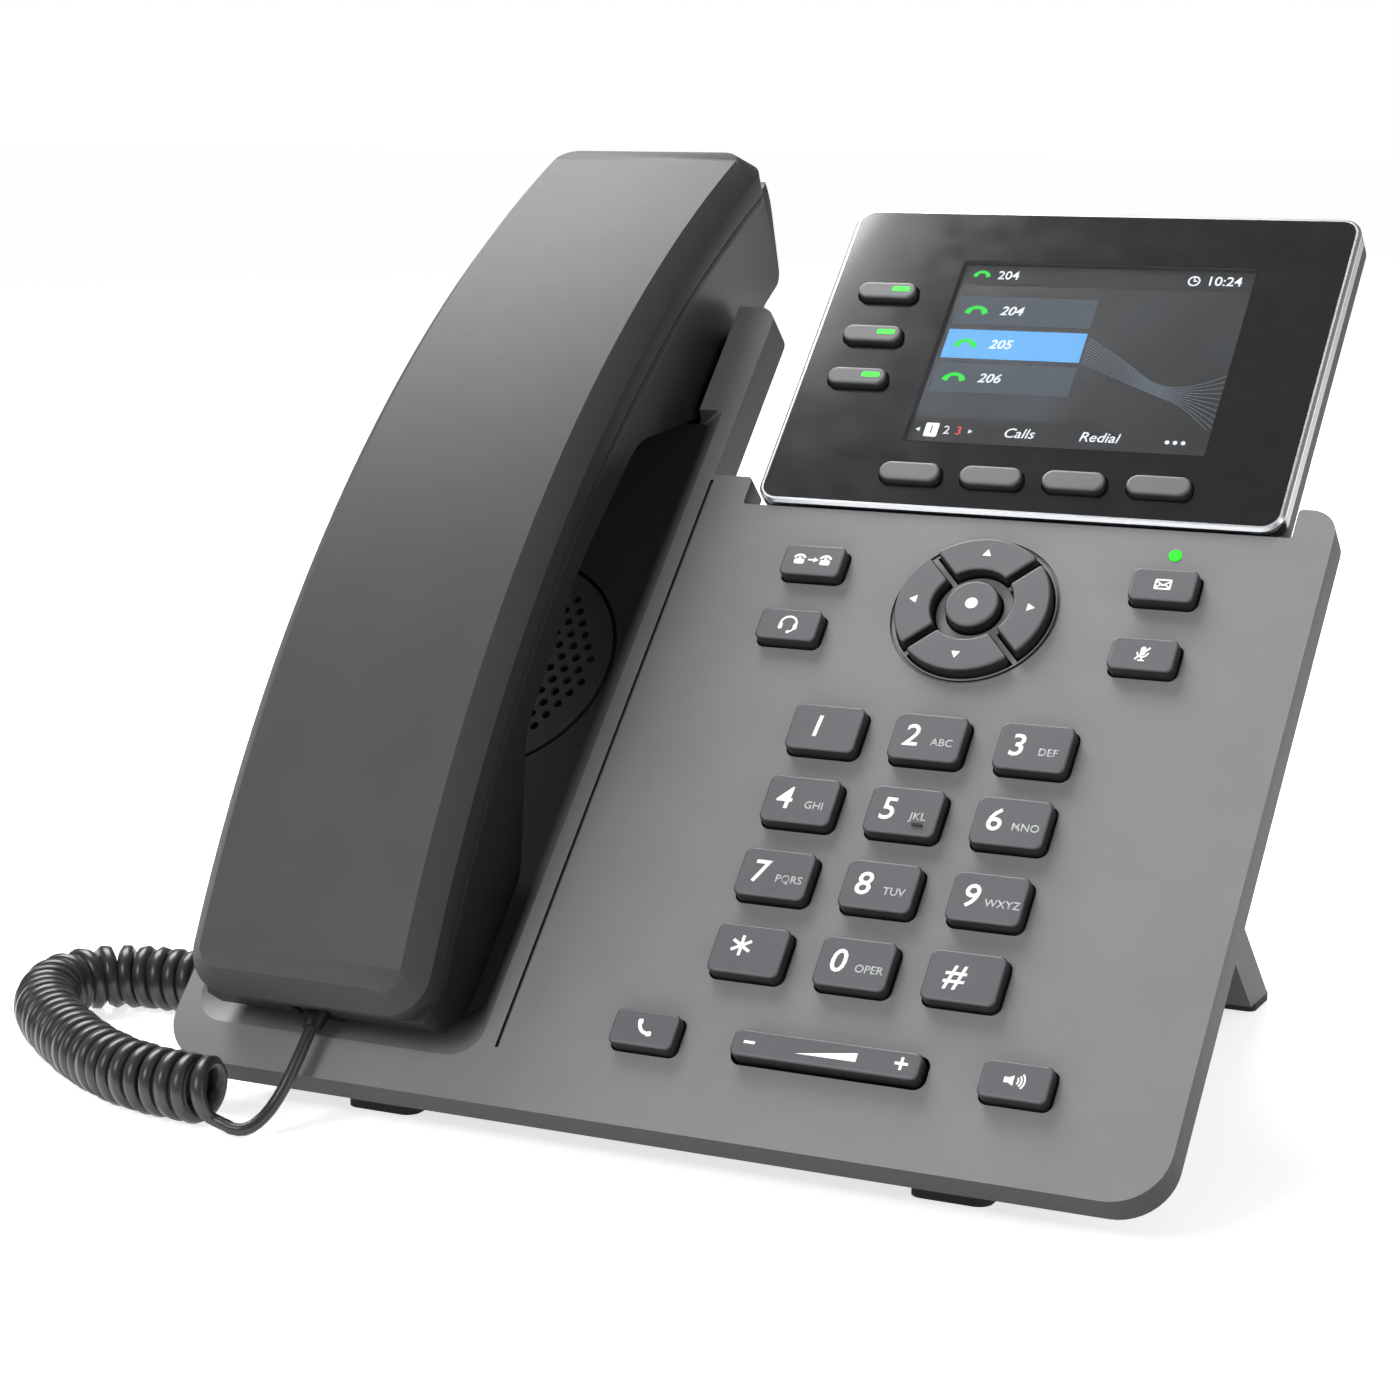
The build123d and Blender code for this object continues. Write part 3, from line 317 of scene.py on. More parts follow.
@dataclass(frozen=True)
class SweepPaper(Surface):
    """Seamless white studio paper, lit evenly so that it shows as a plain pale ground."""

    colour: str
    glow: float

    def shade(self, tree: bpy.types.NodeTree) -> bpy.types.Node:
        """Matt paper with an even light of its own."""
        return add_node(tree, "ShaderNodeBsdfPrincipled",
                        {"Base Color": linear(self.colour), "Roughness": 0.9, "Specular IOR Level": 0.1,
                         "Emission Color": (1, 1, 1, 1), "Emission Strength": self.glow})


class Finish(Enum):
    """Finishes of the telephone, each named for what the real piece is made of."""

    # Sprayed moulding: a matt mid grey whose dark skirt is bare moulding; the near-black on the walls of the
    # hollow and the key openings, and on the hollow's floor as it deepens, is painted shade.
    DECK = MouldedPlastic("textured_grey_abs", "#808182", "#7d7e7f", 0.52, flank_and_shade="#161617", flank_and_shade_ends=0.62,
                          hollow_shade="#262729")
    # Key paint: smoother than the deck, so the bevels catch a line of light.
    CAP = MouldedPlastic("painted_key_abs", "#5d5f62", "#5a5c5f", 0.4, 0.35, 0.006, flank_and_shade="#1b1c1d")
    # The same paint on the keys round the display, a shade lighter against the black.
    PILL = MouldedPlastic("painted_pill_abs", "#66686a", "#626466", 0.38, 0.35, 0.006, flank_and_shade="#2a2b2c")
    # Spark-eroded tool: flat black that shows its form only by soft grey sheens.
    SHELL = MouldedPlastic("textured_black_abs", "#141415", "#111112", 0.5)
    # Fine-grained moulding: light runs down its crest as one wide soft band, and its chamfers and steep sides
    # are darkened as painted shade.
    HANDSET = MouldedPlastic("textured_slate_abs", "#3d3e40", "#3a3b3d", 0.58, flank_and_shade="#1c1d1e",
                             flank_and_shade_ends=0.86)
    # The same grain in black, under the hand and in the cups.
    HANDSET_FRONT = MouldedPlastic("textured_dark_abs", "#18191a", "#151617", 0.48)
    # Polished acrylic with a coat: deep black with clear reflections.
    BEZEL = MouldedPlastic("polished_black_acrylic", "#080809", "#070708", 0.14, 6.0, 0.002, coat=1.0)
    # Drilled disc: a little lighter than the hollow, so its holes stand out.
    GRILLE = MouldedPlastic("drilled_black_abs", "#303132", "#2c2d2e", 0.48)
    # Calendered jacket: smooth enough for a small highlight on every turn.
    CORD = MouldedPlastic("black_pvc_jacket", "#2f3133", "#2c2e30", 0.3, 0.8, 0.002)
    # Moulded rubber: dull, with almost no highlight.
    RUBBER = MouldedPlastic("matt_foot_rubber", "#1d1d1d", "#181818", 0.82, 0.5, 0.03)
    # Pressed silicone: soft grey with a waxy, broad sheen.
    SILICONE = MouldedPlastic("grey_silicone_rubber", "#2e2f30", "#2a2b2c", 0.7, 0.8, 0.02)
    # Glass-filled nylon: even black with a weak gleam.
    SOCKET = MouldedPlastic("black_nylon_socket", "#101011", "#0d0d0e", 0.4)
    # Pressed pulp: dry and fibrous, the dullest of all.
    PAPER_CONE = MouldedPlastic("pressed_paper_cone", "#1a1918", "#151413", 0.85, 0.6, 0.03)
    # Foil-stamped edge: a bright silver line drawn out along its length.
    TRIM = PlainMetal("satin_silver_foil", "#c9ccd0", 0.28)
    # Zinc plate: cool grey metal with a slight haze.
    STEEL = PlainMetal("zinc_plated_steel", "#b4b6b8", 0.3)
    # Gold flash: small warm glints inside the sockets.
    GOLD = PlainMetal("gold_flashed_contact", "#d8b45a", 0.22)
    # Lacquered board: dark green with paler tracks under the gloss.
    BOARD = SolderMask("green_solder_mask", "#0d4a2c", "#1d6a41")
    # Pad printing: crisp matt white that reads from afar.
    WHITE_INK = PrintingInk("white_pad_printing", "#f4f5f5", 0.25)
    # The same ink thinned: small letters that stay behind the digits.
    GREY_INK = PrintingInk("grey_pad_printing", "#b9bbbc", 0.1)
    # Light guide: saturated green that glows evenly.
    GREEN_LAMP = PrintingInk("green_light_guide", "#1fe01f", 1.0, 0.3)
    # Panel lit from behind: a dark blue grey with soft clouds.
    BACKDROP = LitBackdrop("lit_lcd_backdrop", "#0d1115", "#2a333d")
    # Lit dots in the colours of the menu; none has a grain of its own.
    LCD_WHITE = PrintingInk("lit_lcd_white", "#e9edf0", 0.85)
    LCD_GREY = PrintingInk("lit_lcd_grey", "#414a54", 0.75)
    LCD_DARK = PrintingInk("lit_lcd_dark", "#14181c", 0.75)
    LCD_BLUE = PrintingInk("lit_lcd_blue", "#5b9bd0", 0.95)
    LCD_GREEN = PrintingInk("lit_lcd_green", "#22c63a", 0.95)
    LCD_RED = PrintingInk("lit_lcd_red", "#d2402f", 0.95)
    LCD_LINE = PrintingInk("lit_lcd_line", "#90a2b4", 0.55)
    # Cast window: clear, and seen only where it mirrors the lights.
    LENS = ClearAcrylic("clear_acrylic_window", "#ffffff")
    # Paper sweep: a ground so even that only contact shadows show on it.
    SWEEP = SweepPaper("white_sweep", "#f9f9f9", 0.72)

    def material(self) -> bpy.types.Material:
        """Node material of this finish."""
        return self.value.material()


@dataclass(frozen=True)
class Deck:
    """Frame of the tilted key deck in millimetres: u right, v up its slope, w out of it."""

    tilt: float = math.radians(45.64)
    foot_height: float = 8.5
    key_top: float = 2.5
    screen_face: float = 1.0

    def normal(self) -> tuple[float, float, float]:
        """Unit vector out of the deck."""
        return (0.0, -math.sin(self.tilt), math.cos(self.tilt))

    def front(self) -> float:
        """Y of the deck's front edge, in metres."""
        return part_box("faceplate")[0].y

    def point(self, u: float, v: float, w: float = 0.0) -> Vector:
        """Place in metres of a point of the deck frame."""
        s, c = math.sin(self.tilt), math.cos(self.tilt)
        return Vector((u * MM, (v * c - w * s) * MM + self.front(), (v * s + w * c + self.foot_height) * MM))

    def desk(self, x: float, y: float, z: float) -> Vector:
        """Place in metres of a point given from the deck's front edge and the desk."""
        return Vector((x * MM, y * MM + self.front(), z * MM))

    def matrix(self, u: float, v: float, w: float = 0.0, turn: float = 0.0) -> Matrix:
        """Placement of artwork drawn in millimetres.

        Args:
            u: place to the right on the deck.
            v: place up the slope.
            w: height above the deck.
            turn: turn about the deck's normal, in degrees.

        Returns:
            Matrix from the artwork's frame to the part's frame.
        """
        lean = Matrix.Rotation(self.tilt, 4, "X") @ Matrix.Rotation(math.radians(turn), 4, "Z")
        return Matrix.Translation(self.point(u, v, w)) @ lean @ Matrix.Scale(MM, 4)

    def centre(self, node: str) -> tuple[float, float]:
        """Place (u, v) of the middle of a CAD node that is symmetric about its own middle.

        Args:
            node: CAD node's name.

        Returns:
            The middle's u and v in millimetres.
        """
        low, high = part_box(node)
        middle = (low + high) / 2
        along = (middle.y - self.front()) / MM
        up = middle.z / MM - self.foot_height
        return middle.x / MM, along * math.cos(self.tilt) + up * math.sin(self.tilt)


def curve_mesh(routes: list[list[Vector]], detail: int, depth: float = 0.0, roundness: int = 1,
               capped: bool = True) -> bpy.types.Mesh:
    """Mesh of order-3 NURBS curves, as bare lines or as tubes.

    Args:
        routes: control points of each curve.
        detail: steps between two control points.
        depth: tubes' radius, or 0 for bare lines.
        roundness: subdivisions of the tubes' sides.
        capped: close the tubes' ends.

    Returns:
        All curves as one mesh.
    """
    data = bpy.data.curves.new("routes", "CURVE")
    data.dimensions, data.resolution_u, data.use_fill_caps = "3D", detail, capped
    data.bevel_depth, data.bevel_resolution = depth, roundness
    for points in routes:
        spline = data.splines.new("NURBS")
        spline.points.add(len(points) - 1)
        for spot, point in zip(spline.points, points):
            spot.co = (*point, 1)
        spline.order_u, spline.use_endpoint_u = 3, True
    holder = bpy.data.objects.new("routes", data)
    made = bpy.data.meshes.new_from_object(holder)
    bpy.data.objects.remove(holder)
    bpy.data.curves.remove(data)
    return made


def show(name: str, mesh: bmesh.types.BMesh, finish: Finish, smooth: bool = False) -> bpy.types.Object:
    """Turn a finished bmesh into an object of the scene.

    Args:
        name: object's name.
        mesh: bmesh in metres in the part's frame; it is freed.
        finish: finish of the whole object.
        smooth: shade all of its faces smooth.

    Returns:
        The new object.
    """
    data = bpy.data.meshes.new(name)
    mesh.to_mesh(data)
    mesh.free()
    if smooth:
        data.polygons.foreach_set("use_smooth", [True] * len(data.polygons))
    data.materials.append(finish.material())
    made = bpy.data.objects.new(name, data)
    bpy.context.scene.collection.objects.link(made)
    return made


def new_piece(name: str, mesh: bmesh.types.BMesh, finish: Finish, body: str,
              smooth: bool = True) -> bpy.types.Object:
    """Turn a finished bmesh into a piece that rides on a body.

    Args:
        name: piece's name.
        mesh: bmesh in metres in the part's frame; it is freed.
        finish: finish of the whole piece.
        body: CAD body that carries the piece.
        smooth: shade rounded faces smooth, with edges over 35 degrees kept sharp.

    Returns:
        The new object.
    """
    piece = show(name, mesh, finish, smooth)
    if smooth:
        piece.data.set_sharp_from_angle(angle=math.radians(35))
    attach(piece, body)
    log.info("made %s: %d faces on %s", name, len(piece.data.polygons), body)
    return piece


class Artwork:
    """Flat artwork drawn in millimetres and laid on a surface as a thin film."""

    def __init__(self, name: str) -> None:
        """Start an empty artwork with the name that its piece will have."""
        self.name = name
        self.mesh = bmesh.new()

    @staticmethod
    def _spot(x: float, y: float, turn: float = 0.0, width: float = 1.0, height: float = 1.0) -> Matrix:
        """Matrix that scales, turns and moves one mark."""
        return (Matrix.Translation((x, y, 0)) @ Matrix.Rotation(math.radians(turn), 4, "Z")
                @ Matrix.Diagonal((width, height, 1, 1)))

    def bar(self, x: float, y: float, width: float, height: float, turn: float = 0.0) -> "Artwork":
        """Add a bar centred on (x, y)."""
        bmesh.ops.create_grid(self.mesh, x_segments=1, y_segments=1, size=0.5,
                              matrix=self._spot(x, y, turn, width, height))
        return self

    def pill(self, x: float, y: float, width: float, height: float, corner: float,
             turn: float = 0.0) -> "Artwork":
        """Add a bar with rounded corners."""
        made = bmesh.ops.create_grid(self.mesh, x_segments=1, y_segments=1, size=0.5,
                                     matrix=self._spot(x, y, turn, width, height))
        bmesh.ops.bevel(self.mesh, geom=made["verts"], offset=corner, offset_type="OFFSET", segments=5,
                        profile=0.5, affect="VERTICES", material=-1)
        return self

    def disc(self, x: float, y: float, radius: float, sides: int = 28) -> "Artwork":
        """Add a filled disc."""
        bmesh.ops.create_circle(self.mesh, cap_ends=True, radius=radius, segments=sides,
                                matrix=self._spot(x, y))
        return self

    def triangle(self, x: float, y: float, radius: float, turn: float = 0.0,
                 squash: float = 1.0) -> "Artwork":
        """Add a triangle that points up before it is turned."""
        bmesh.ops.create_circle(self.mesh, cap_ends=True, radius=radius, segments=3,
                                matrix=self._spot(x, y, turn, 1.0, squash))
        return self

    def wedge(self, left: float, right: float, low: float, high: float) -> "Artwork":
        """Add a wedge that grows from nothing at its left end to its whole height at its right end."""
        run, rise = right - left, high - low
        shear = Matrix(((run / 3 ** 0.5, run / 3, 0, left + run * 2 / 3), (0, rise / 1.5, 0, low + rise / 3),
                        (0, 0, 1, 0), (0, 0, 0, 1)))
        bmesh.ops.create_circle(self.mesh, cap_ends=True, radius=1.0, segments=3, matrix=shear)
        return self

    def arc(self, x: float, y: float, radius: float, width: float, start: float, sweep: float) -> "Artwork":
        """Add a stretch of a ring.

        Args:
            x: centre to the right.
            y: centre up.
            radius: radius of the ring's middle line.
            width: width of the line.
            start: angle where it starts, in degrees from +x.
            sweep: angle that it covers.

        Returns:
            This artwork.
        """
        spoke = Vector((math.cos(math.radians(start)), math.sin(math.radians(start)), 0))
        ends = [self.mesh.verts.new(Vector((x, y, 0)) + spoke * (radius + side * width / 2))
                for side in (-1, 1)]
        line = self.mesh.edges.new(ends)
        bmesh.ops.spin(self.mesh, geom=[*ends, line], cent=(x, y, 0), axis=(0, 0, 1),
                       angle=math.radians(sweep), steps=max(4, int(abs(sweep) / 12)), use_merge=False)
        return self

    def words(self, text: str, x: float, y: float, size: float, weight: float = 0.0,
              slant: float = 0.0) -> "Artwork":
        """Add lettering centred on (x, y).

        Args:
            text: what it says.
            x: centre to the right.
            y: centre up.
            size: letter size.
            weight: extra thickness of the strokes as a share of the size.
            slant: lean of the letters.

        Returns:
            This artwork.
        """
        curve = bpy.data.curves.new("lettering", "FONT")
        curve.body, curve.size, curve.shear = text, size, slant
        curve.align_x, curve.align_y = "CENTER", "CENTER"
        curve.offset = weight * size
        curve.resolution_u = 3
        holder = bpy.data.objects.new("lettering", curve)
        flat = bpy.data.meshes.new_from_object(holder)
        flat.transform(Matrix.Translation((x, y, 0)))
        self.mesh.from_mesh(flat)
        bpy.data.objects.remove(holder)
        bpy.data.curves.remove(curve)
        bpy.data.meshes.remove(flat)
        return self

    def lay(self, place: Matrix, finish: Finish, body: str, slot: str,
            film: float = 0.03) -> bpy.types.Object:
        """Give the artwork its thickness and lay it in place.

        Args:
            place: matrix from the artwork's frame to the part's frame.
            finish: its ink.
            body: CAD body that carries it.
            slot: name of the record's material slot; not used.
            film: thickness in millimetres.

        Returns:
            The new piece.
        """
        made = bmesh.ops.extrude_face_region(self.mesh, geom=list(self.mesh.faces))
        raised = [item for item in made["geom"] if isinstance(item, bmesh.types.BMVert)]
        bmesh.ops.translate(self.mesh, verts=raised, vec=(0, 0, film))
        bmesh.ops.recalc_face_normals(self.mesh, faces=self.mesh.faces)
        self.mesh.transform(place)
        piece = new_piece(self.name, self.mesh, finish, body, smooth=False)
        return piece


class Icon(Enum):
    """Generic pictograms of the function keys."""

    HANDSET = "handset"
    TRANSFER = "transfer"
    HEADSET = "headset"
    MESSAGE = "message"
    MUTE = "mute"
    SPEAKER = "speaker"

    def draw(self, art: Artwork, scale: float) -> Artwork:
        """Draw the pictogram about the artwork's origin.

        Args:
            art: empty artwork that it joins.
            scale: size against a pictogram 3.5 mm high.

        Returns:
            The artwork.
        """
        if self is Icon.HANDSET:
            art.arc(1.0, 1.0, 2.0, 0.65, 175, 100)
            art.pill(-1.0, 1.2, 0.95, 1.05, 0.25, 10).pill(1.2, -1.0, 1.05, 0.95, 0.25, 10)
        elif self is Icon.TRANSFER:
            for side in (-3.0, 3.0):
                art.pill(side, -0.55, 2.3, 1.3, 0.35).arc(side, -0.2, 1.35, 0.55, 25, 130)
                art.bar(side, 0.3, 0.7, 0.6)
            art.bar(-0.3, 0, 1.5, 0.4).triangle(0.7, 0, 0.75, -90)
        elif self is Icon.HEADSET:
            art.arc(0, 0, 1.65, 0.42, -15, 210)
            for side in (-1.5, 1.5):
                art.pill(side, -0.55, 0.8, 1.4, 0.3)
            art.arc(0, -0.3, 1.6, 0.32, -75, 60).disc(0.35, -1.85, 0.36, 14)
        elif self is Icon.MESSAGE:
            for side in (-1, 1):
                art.bar(0, side * 1.1, 3.4, 0.38).bar(side * 1.6, 0, 0.38, 2.2)
                art.bar(side * 0.8, 0.3, 2.1, 0.36, side * 36).bar(side, -0.45, 1.4, 0.3, -side * 36)
        elif self is Icon.MUTE:
            art.pill(0, 0.55, 0.95, 1.9, 0.45).arc(0, 0.25, 1.0, 0.3, 180, 180)
            art.bar(0, -1.1, 0.3, 0.7).bar(0, -1.5, 1.2, 0.3).bar(0, 0, 3.6, 0.34, 48)
        else:
            art.bar(-1.7, 0, 0.8, 1.1).triangle(-0.9, 0, 1.2, 90)
            for ring in (0.9, 1.5, 2.1):
                art.arc(-0.3, 0, ring, 0.32, -42, 84)
        bmesh.ops.scale(art.mesh, vec=(scale, scale, 1), verts=art.mesh.verts)
        return art


@dataclass
class KeyLegends:
    """Pad-printed legends on the caps of the key deck."""

    deck: Deck = field(default_factory=Deck)
    digit_size: float = 6.2
    letter_size: float = 2.1
    digit_shift: float = -2.9
    letter_shift: float = 2.9
    arrow_radius: float = 10.9
    rocker_rise: float = 17.1
    dial: tuple[tuple[str, str, str], ...] = (
        ("key_1", "1", ""), ("key_2", "2", "ABC"), ("key_3", "3", "DEF"), ("key_4", "4", "GHI"),
        ("key_5", "5", "JKL"), ("key_6", "6", "MNO"), ("key_7", "7", "PQRS"), ("key_8", "8", "TUV"),
        ("key_9", "9", "WXYZ"), ("key_star", "*", ""), ("key_0", "0", "OPER"), ("key_hash", "#", ""))
    pictograms: tuple[tuple[str, Icon, float], ...] = (
        ("transfer_key", Icon.TRANSFER, 0.85), ("headset_key", Icon.HEADSET, 0.95),
        ("message_key", Icon.MESSAGE, 0.85), ("mute_key", Icon.MUTE, 0.95),
        ("send_key", Icon.HANDSET, 0.95), ("speaker_key", Icon.SPEAKER, 0.9))

    def build(self) -> None:
        """Print every legend on its own cap."""
        self._dial_keys()
        self._function_keys()
        self._navigation()
        self._volume()
        self._line_lamps()

    def _on_cap(self, art: Artwork, node: str, finish: Finish = Finish.WHITE_INK) -> None:
        """Lay artwork on the middle of a cap."""
        u, v = self.deck.centre(node)
        art.lay(self.deck.matrix(u, v, self.deck.key_top), finish, node, "key_plastic")

    def _dial_keys(self) -> None:
        """Digits, letters and the pip that a finger finds on the middle key."""
        for node, digit, letters in self.dial:
            shift = self.digit_shift if letters else self.digit_shift + 1.4
            art = Artwork(f"legend_{node}")
            if digit == "*":
                for turn in (0, 60, 120):
                    art.bar(shift, 0.6, 3.9, 0.55, turn + 90)
            else:
                art.words(digit, shift, -0.1, self.digit_size, 0.01, 0.08)
            self._on_cap(art, node)
            if letters:
                small = Artwork(f"letters_{node}")
                small.words(letters, self.letter_shift, -1.0, self.letter_size, 0.012)
                self._on_cap(small, node, Finish.GREY_INK)
        u, v = self.deck.centre("key_5")
        pip = Artwork("pip_key_5").pill(self.letter_shift + 0.3, -2.6, 2.0, 0.45, 0.2)
        pip.lay(self.deck.matrix(u, v, self.deck.key_top), Finish.SHELL, "key_5", "key_plastic", film=0.35)

    def _function_keys(self) -> None:
        """Pictograms of the function keys."""
        for node, icon, scale in self.pictograms:
            self._on_cap(icon.draw(Artwork(f"legend_{node}"), scale), node)

    def _navigation(self) -> None:
        """Arrows round the ring and the dot on its button."""
        u, v = self.deck.centre("ok_button")
        place = self.deck.matrix(u, v, self.deck.key_top)
        for name, turn in (("nav_up", 0), ("nav_left", 90), ("nav_down", 180), ("nav_right", 270)):
            lean = math.radians(turn + 90)
            art = Artwork(f"legend_{name}")
            art.triangle(self.arrow_radius * math.cos(lean), self.arrow_radius * math.sin(lean), 0.95, turn)
            art.lay(place, Finish.WHITE_INK, name, "key_plastic")
        Artwork("legend_ok_button").disc(0, 0, 1.15).lay(place, Finish.WHITE_INK, "ok_button", "key_plastic")

    def _volume(self) -> None:
        """Minus, a growing wedge and plus along the rocker."""
        low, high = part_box("volume_rocker")
        art = Artwork("legend_volume_rocker").bar(-13.6, 0.1, 2.0, 0.5)
        art.wedge(-5.2, 5.6, -0.75, 0.85)
        art.bar(13.4, 0.1, 2.3, 0.5).bar(13.4, 0.1, 0.5, 2.3)
        place = self.deck.matrix((low.x + high.x) / 2 / MM, self.rocker_rise, self.deck.key_top)
        art.lay(place, Finish.WHITE_INK, "volume_rocker", "key_plastic")

    def _line_lamps(self) -> None:
        """Light guides at the right end of the line keys."""
        for number in (1, 2, 3):
            node = f"line_key_{number}"
            u, v = self.deck.centre(node)
            lamp = Artwork(f"lamp_{node}").pill(2.9, 0.25, 3.6, 1.15, 0.35)
            lamp.lay(self.deck.matrix(u, v, self.deck.key_top), Finish.GREEN_LAMP, node, "lens_green",
                     film=0.05)


@dataclass
class LitDisplay:
    """Colour display behind a flush acrylic window."""

    deck: Deck = field(default_factory=Deck)
    width: float = 57.6
    height: float = 43.2
    level: float = -0.38
    layer: float = 0.025
    row_width: float = 27.5
    row_height: float = 7.0
    row_tops: tuple[float, ...] = (11.2, 19.4, 27.6)
    wave_lines: int = 11
    wave_radius: float = 0.03

    def build(self) -> None:
        """Stack the picture's layers and close them with the window."""
        u, v = self.deck.centre("lcd_module")
        self.u, self.v = u, v
        self._lay(Artwork("picture_backdrop").bar(0, 0, self.width, self.height), Finish.BACKDROP, 0)
        top, low = self.height / 2, -self.height / 2
        strips = Artwork("picture_strips").bar(0, top - 2.4, self.width, 4.8)
        strips.bar(0, low + 3.0, self.width, 6.0)
        self._lay(strips, Finish.LCD_DARK, 1)
        self._rows(top)
        self._labels(top, low)
        self._waves()
        self._window()

    def _lay(self, art: Artwork, finish: Finish, depth: int) -> None:
        """Lay one layer of the picture at its depth in the stack."""
        place = self.deck.matrix(self.u, self.v, self.level + depth * self.layer)
        art.lay(place, finish, "base", "display_glass", film=self.layer * 0.8)

    def _rows(self, top: float) -> None:
        """Account rows at the left, with the middle one chosen."""
        left = -self.width / 2 + self.row_width / 2 + 1.2
        for index, (drop, number) in enumerate(zip(self.row_tops, ("204", "205", "206"))):
            finish = Finish.LCD_BLUE if index == 1 else Finish.LCD_GREY
            row = Artwork(f"picture_row_{index + 1}").bar(left, top - drop, self.row_width, self.row_height)
            self._lay(row, finish, 1)
            icon = Artwork(f"picture_phone_{index + 1}")
            icon.arc(left - 9.6, top - drop - 1.2, 2.0, 0.8, 35, 110)
            for ear, tilt in ((11.2, -25), (8.0, 25)):
                icon.bar(left - ear, top - drop - 0.2, 1.1, 1.2, tilt)
            self._lay(icon, Finish.LCD_GREEN, 2)
            text = Artwork(f"picture_number_{index + 1}")
            text.words(number, left - 2.6, top - drop, 3.0, 0.01, 0.2)
            self._lay(text, Finish.LCD_WHITE, 2)

    def _labels(self, top: float, low: float) -> None:
        """Status line, page marks and the words over the soft keys."""
        edge = self.width / 2
        art = Artwork("picture_labels").words("204", -edge + 9.4, top - 2.4, 2.9, 0.006)
        art.words("10:24", edge - 5.8, top - 2.4, 3.1, 0.008)
        art.arc(edge - 11.6, top - 2.4, 1.05, 0.3, 0, 360).bar(edge - 11.6, top - 2.1, 0.25, 0.8)
        art.bar(edge - 11.35, top - 2.4, 0.7, 0.25)
        art.pill(-edge + 4.4, low + 3.0, 2.6, 3.2, 0.3)
        art.words("2", -edge + 7.4, low + 3.0, 2.7)
        art.triangle(-edge + 1.8, low + 3.0, 0.55, 90).triangle(-edge + 12.0, low + 3.0, 0.55, -90)
        art.words("Calls", -7.2, low + 3.0, 3.1, 0.004, 0.2).words("Redial", 8.2, low + 3.0, 3.1, 0.004, 0.2)
        for step in (-1, 0, 1):
            art.disc(22.6 + step * 1.5, low + 2.8, 0.42, 16)
        self._lay(art, Finish.LCD_WHITE, 2)
        self._lay(Artwork("picture_page_1").words("1", -edge + 4.4, low + 3.0, 2.7), Finish.LCD_DARK, 3)
        self._lay(Artwork("picture_page_3").words("3", -edge + 9.8, low + 3.0, 2.7), Finish.LCD_RED, 2)
        phone = Artwork("picture_status_phone").arc(-edge + 4.0, top - 3.1, 1.5, 0.65, 35, 110)
        phone.bar(-edge + 2.8, top - 2.4, 0.85, 0.9, -25).bar(-edge + 5.2, top - 2.4, 0.85, 0.9, 25)
        self._lay(phone, Finish.LCD_GREEN, 2)

    def _waves(self) -> None:
        """A sheaf of thin lines that swings across the right of the picture."""
        left = -self.width / 2 + self.row_width + 1.6
        right = self.width / 2 - 0.2
        routes = []
        for index in range(self.wave_lines):
            share = index / (self.wave_lines - 1)
            stations = ((0.0, 4.8 - share * 6.0), (0.3, -0.5 - share * 4.5), (0.55, -6.2 - share * 1.8),
                        (0.8, -6.2 - share * 4.5), (1.0, -3.0 - share * 13.5))
            routes.append([Vector((left + along * (right - left), height, 0)) for along, height in stations])
        flat = curve_mesh(routes, 6, self.wave_radius, 0, capped=False)
        mesh = bmesh.new()
        mesh.from_mesh(flat)
        bpy.data.meshes.remove(flat)
        bmesh.ops.scale(mesh, vec=(1, 1, 0.2), verts=mesh.verts)
        mesh.transform(self.deck.matrix(self.u, self.v, self.level + 1.4 * self.layer))
        new_piece("picture_waves", mesh, Finish.LCD_LINE, "base")

    def _window(self) -> None:
        """Flush acrylic window with a softened edge, 0.1 mm clear of the bezel's opening."""
        pane = Artwork("display_window").pill(0, 0, self.width + 0.2, self.height + 0.8, 0.5)
        pane.lay(self.deck.matrix(self.u, self.v, self.level + 0.12), Finish.LENS, "base", "display_glass",
                 film=self.deck.screen_face - self.level - 0.14)


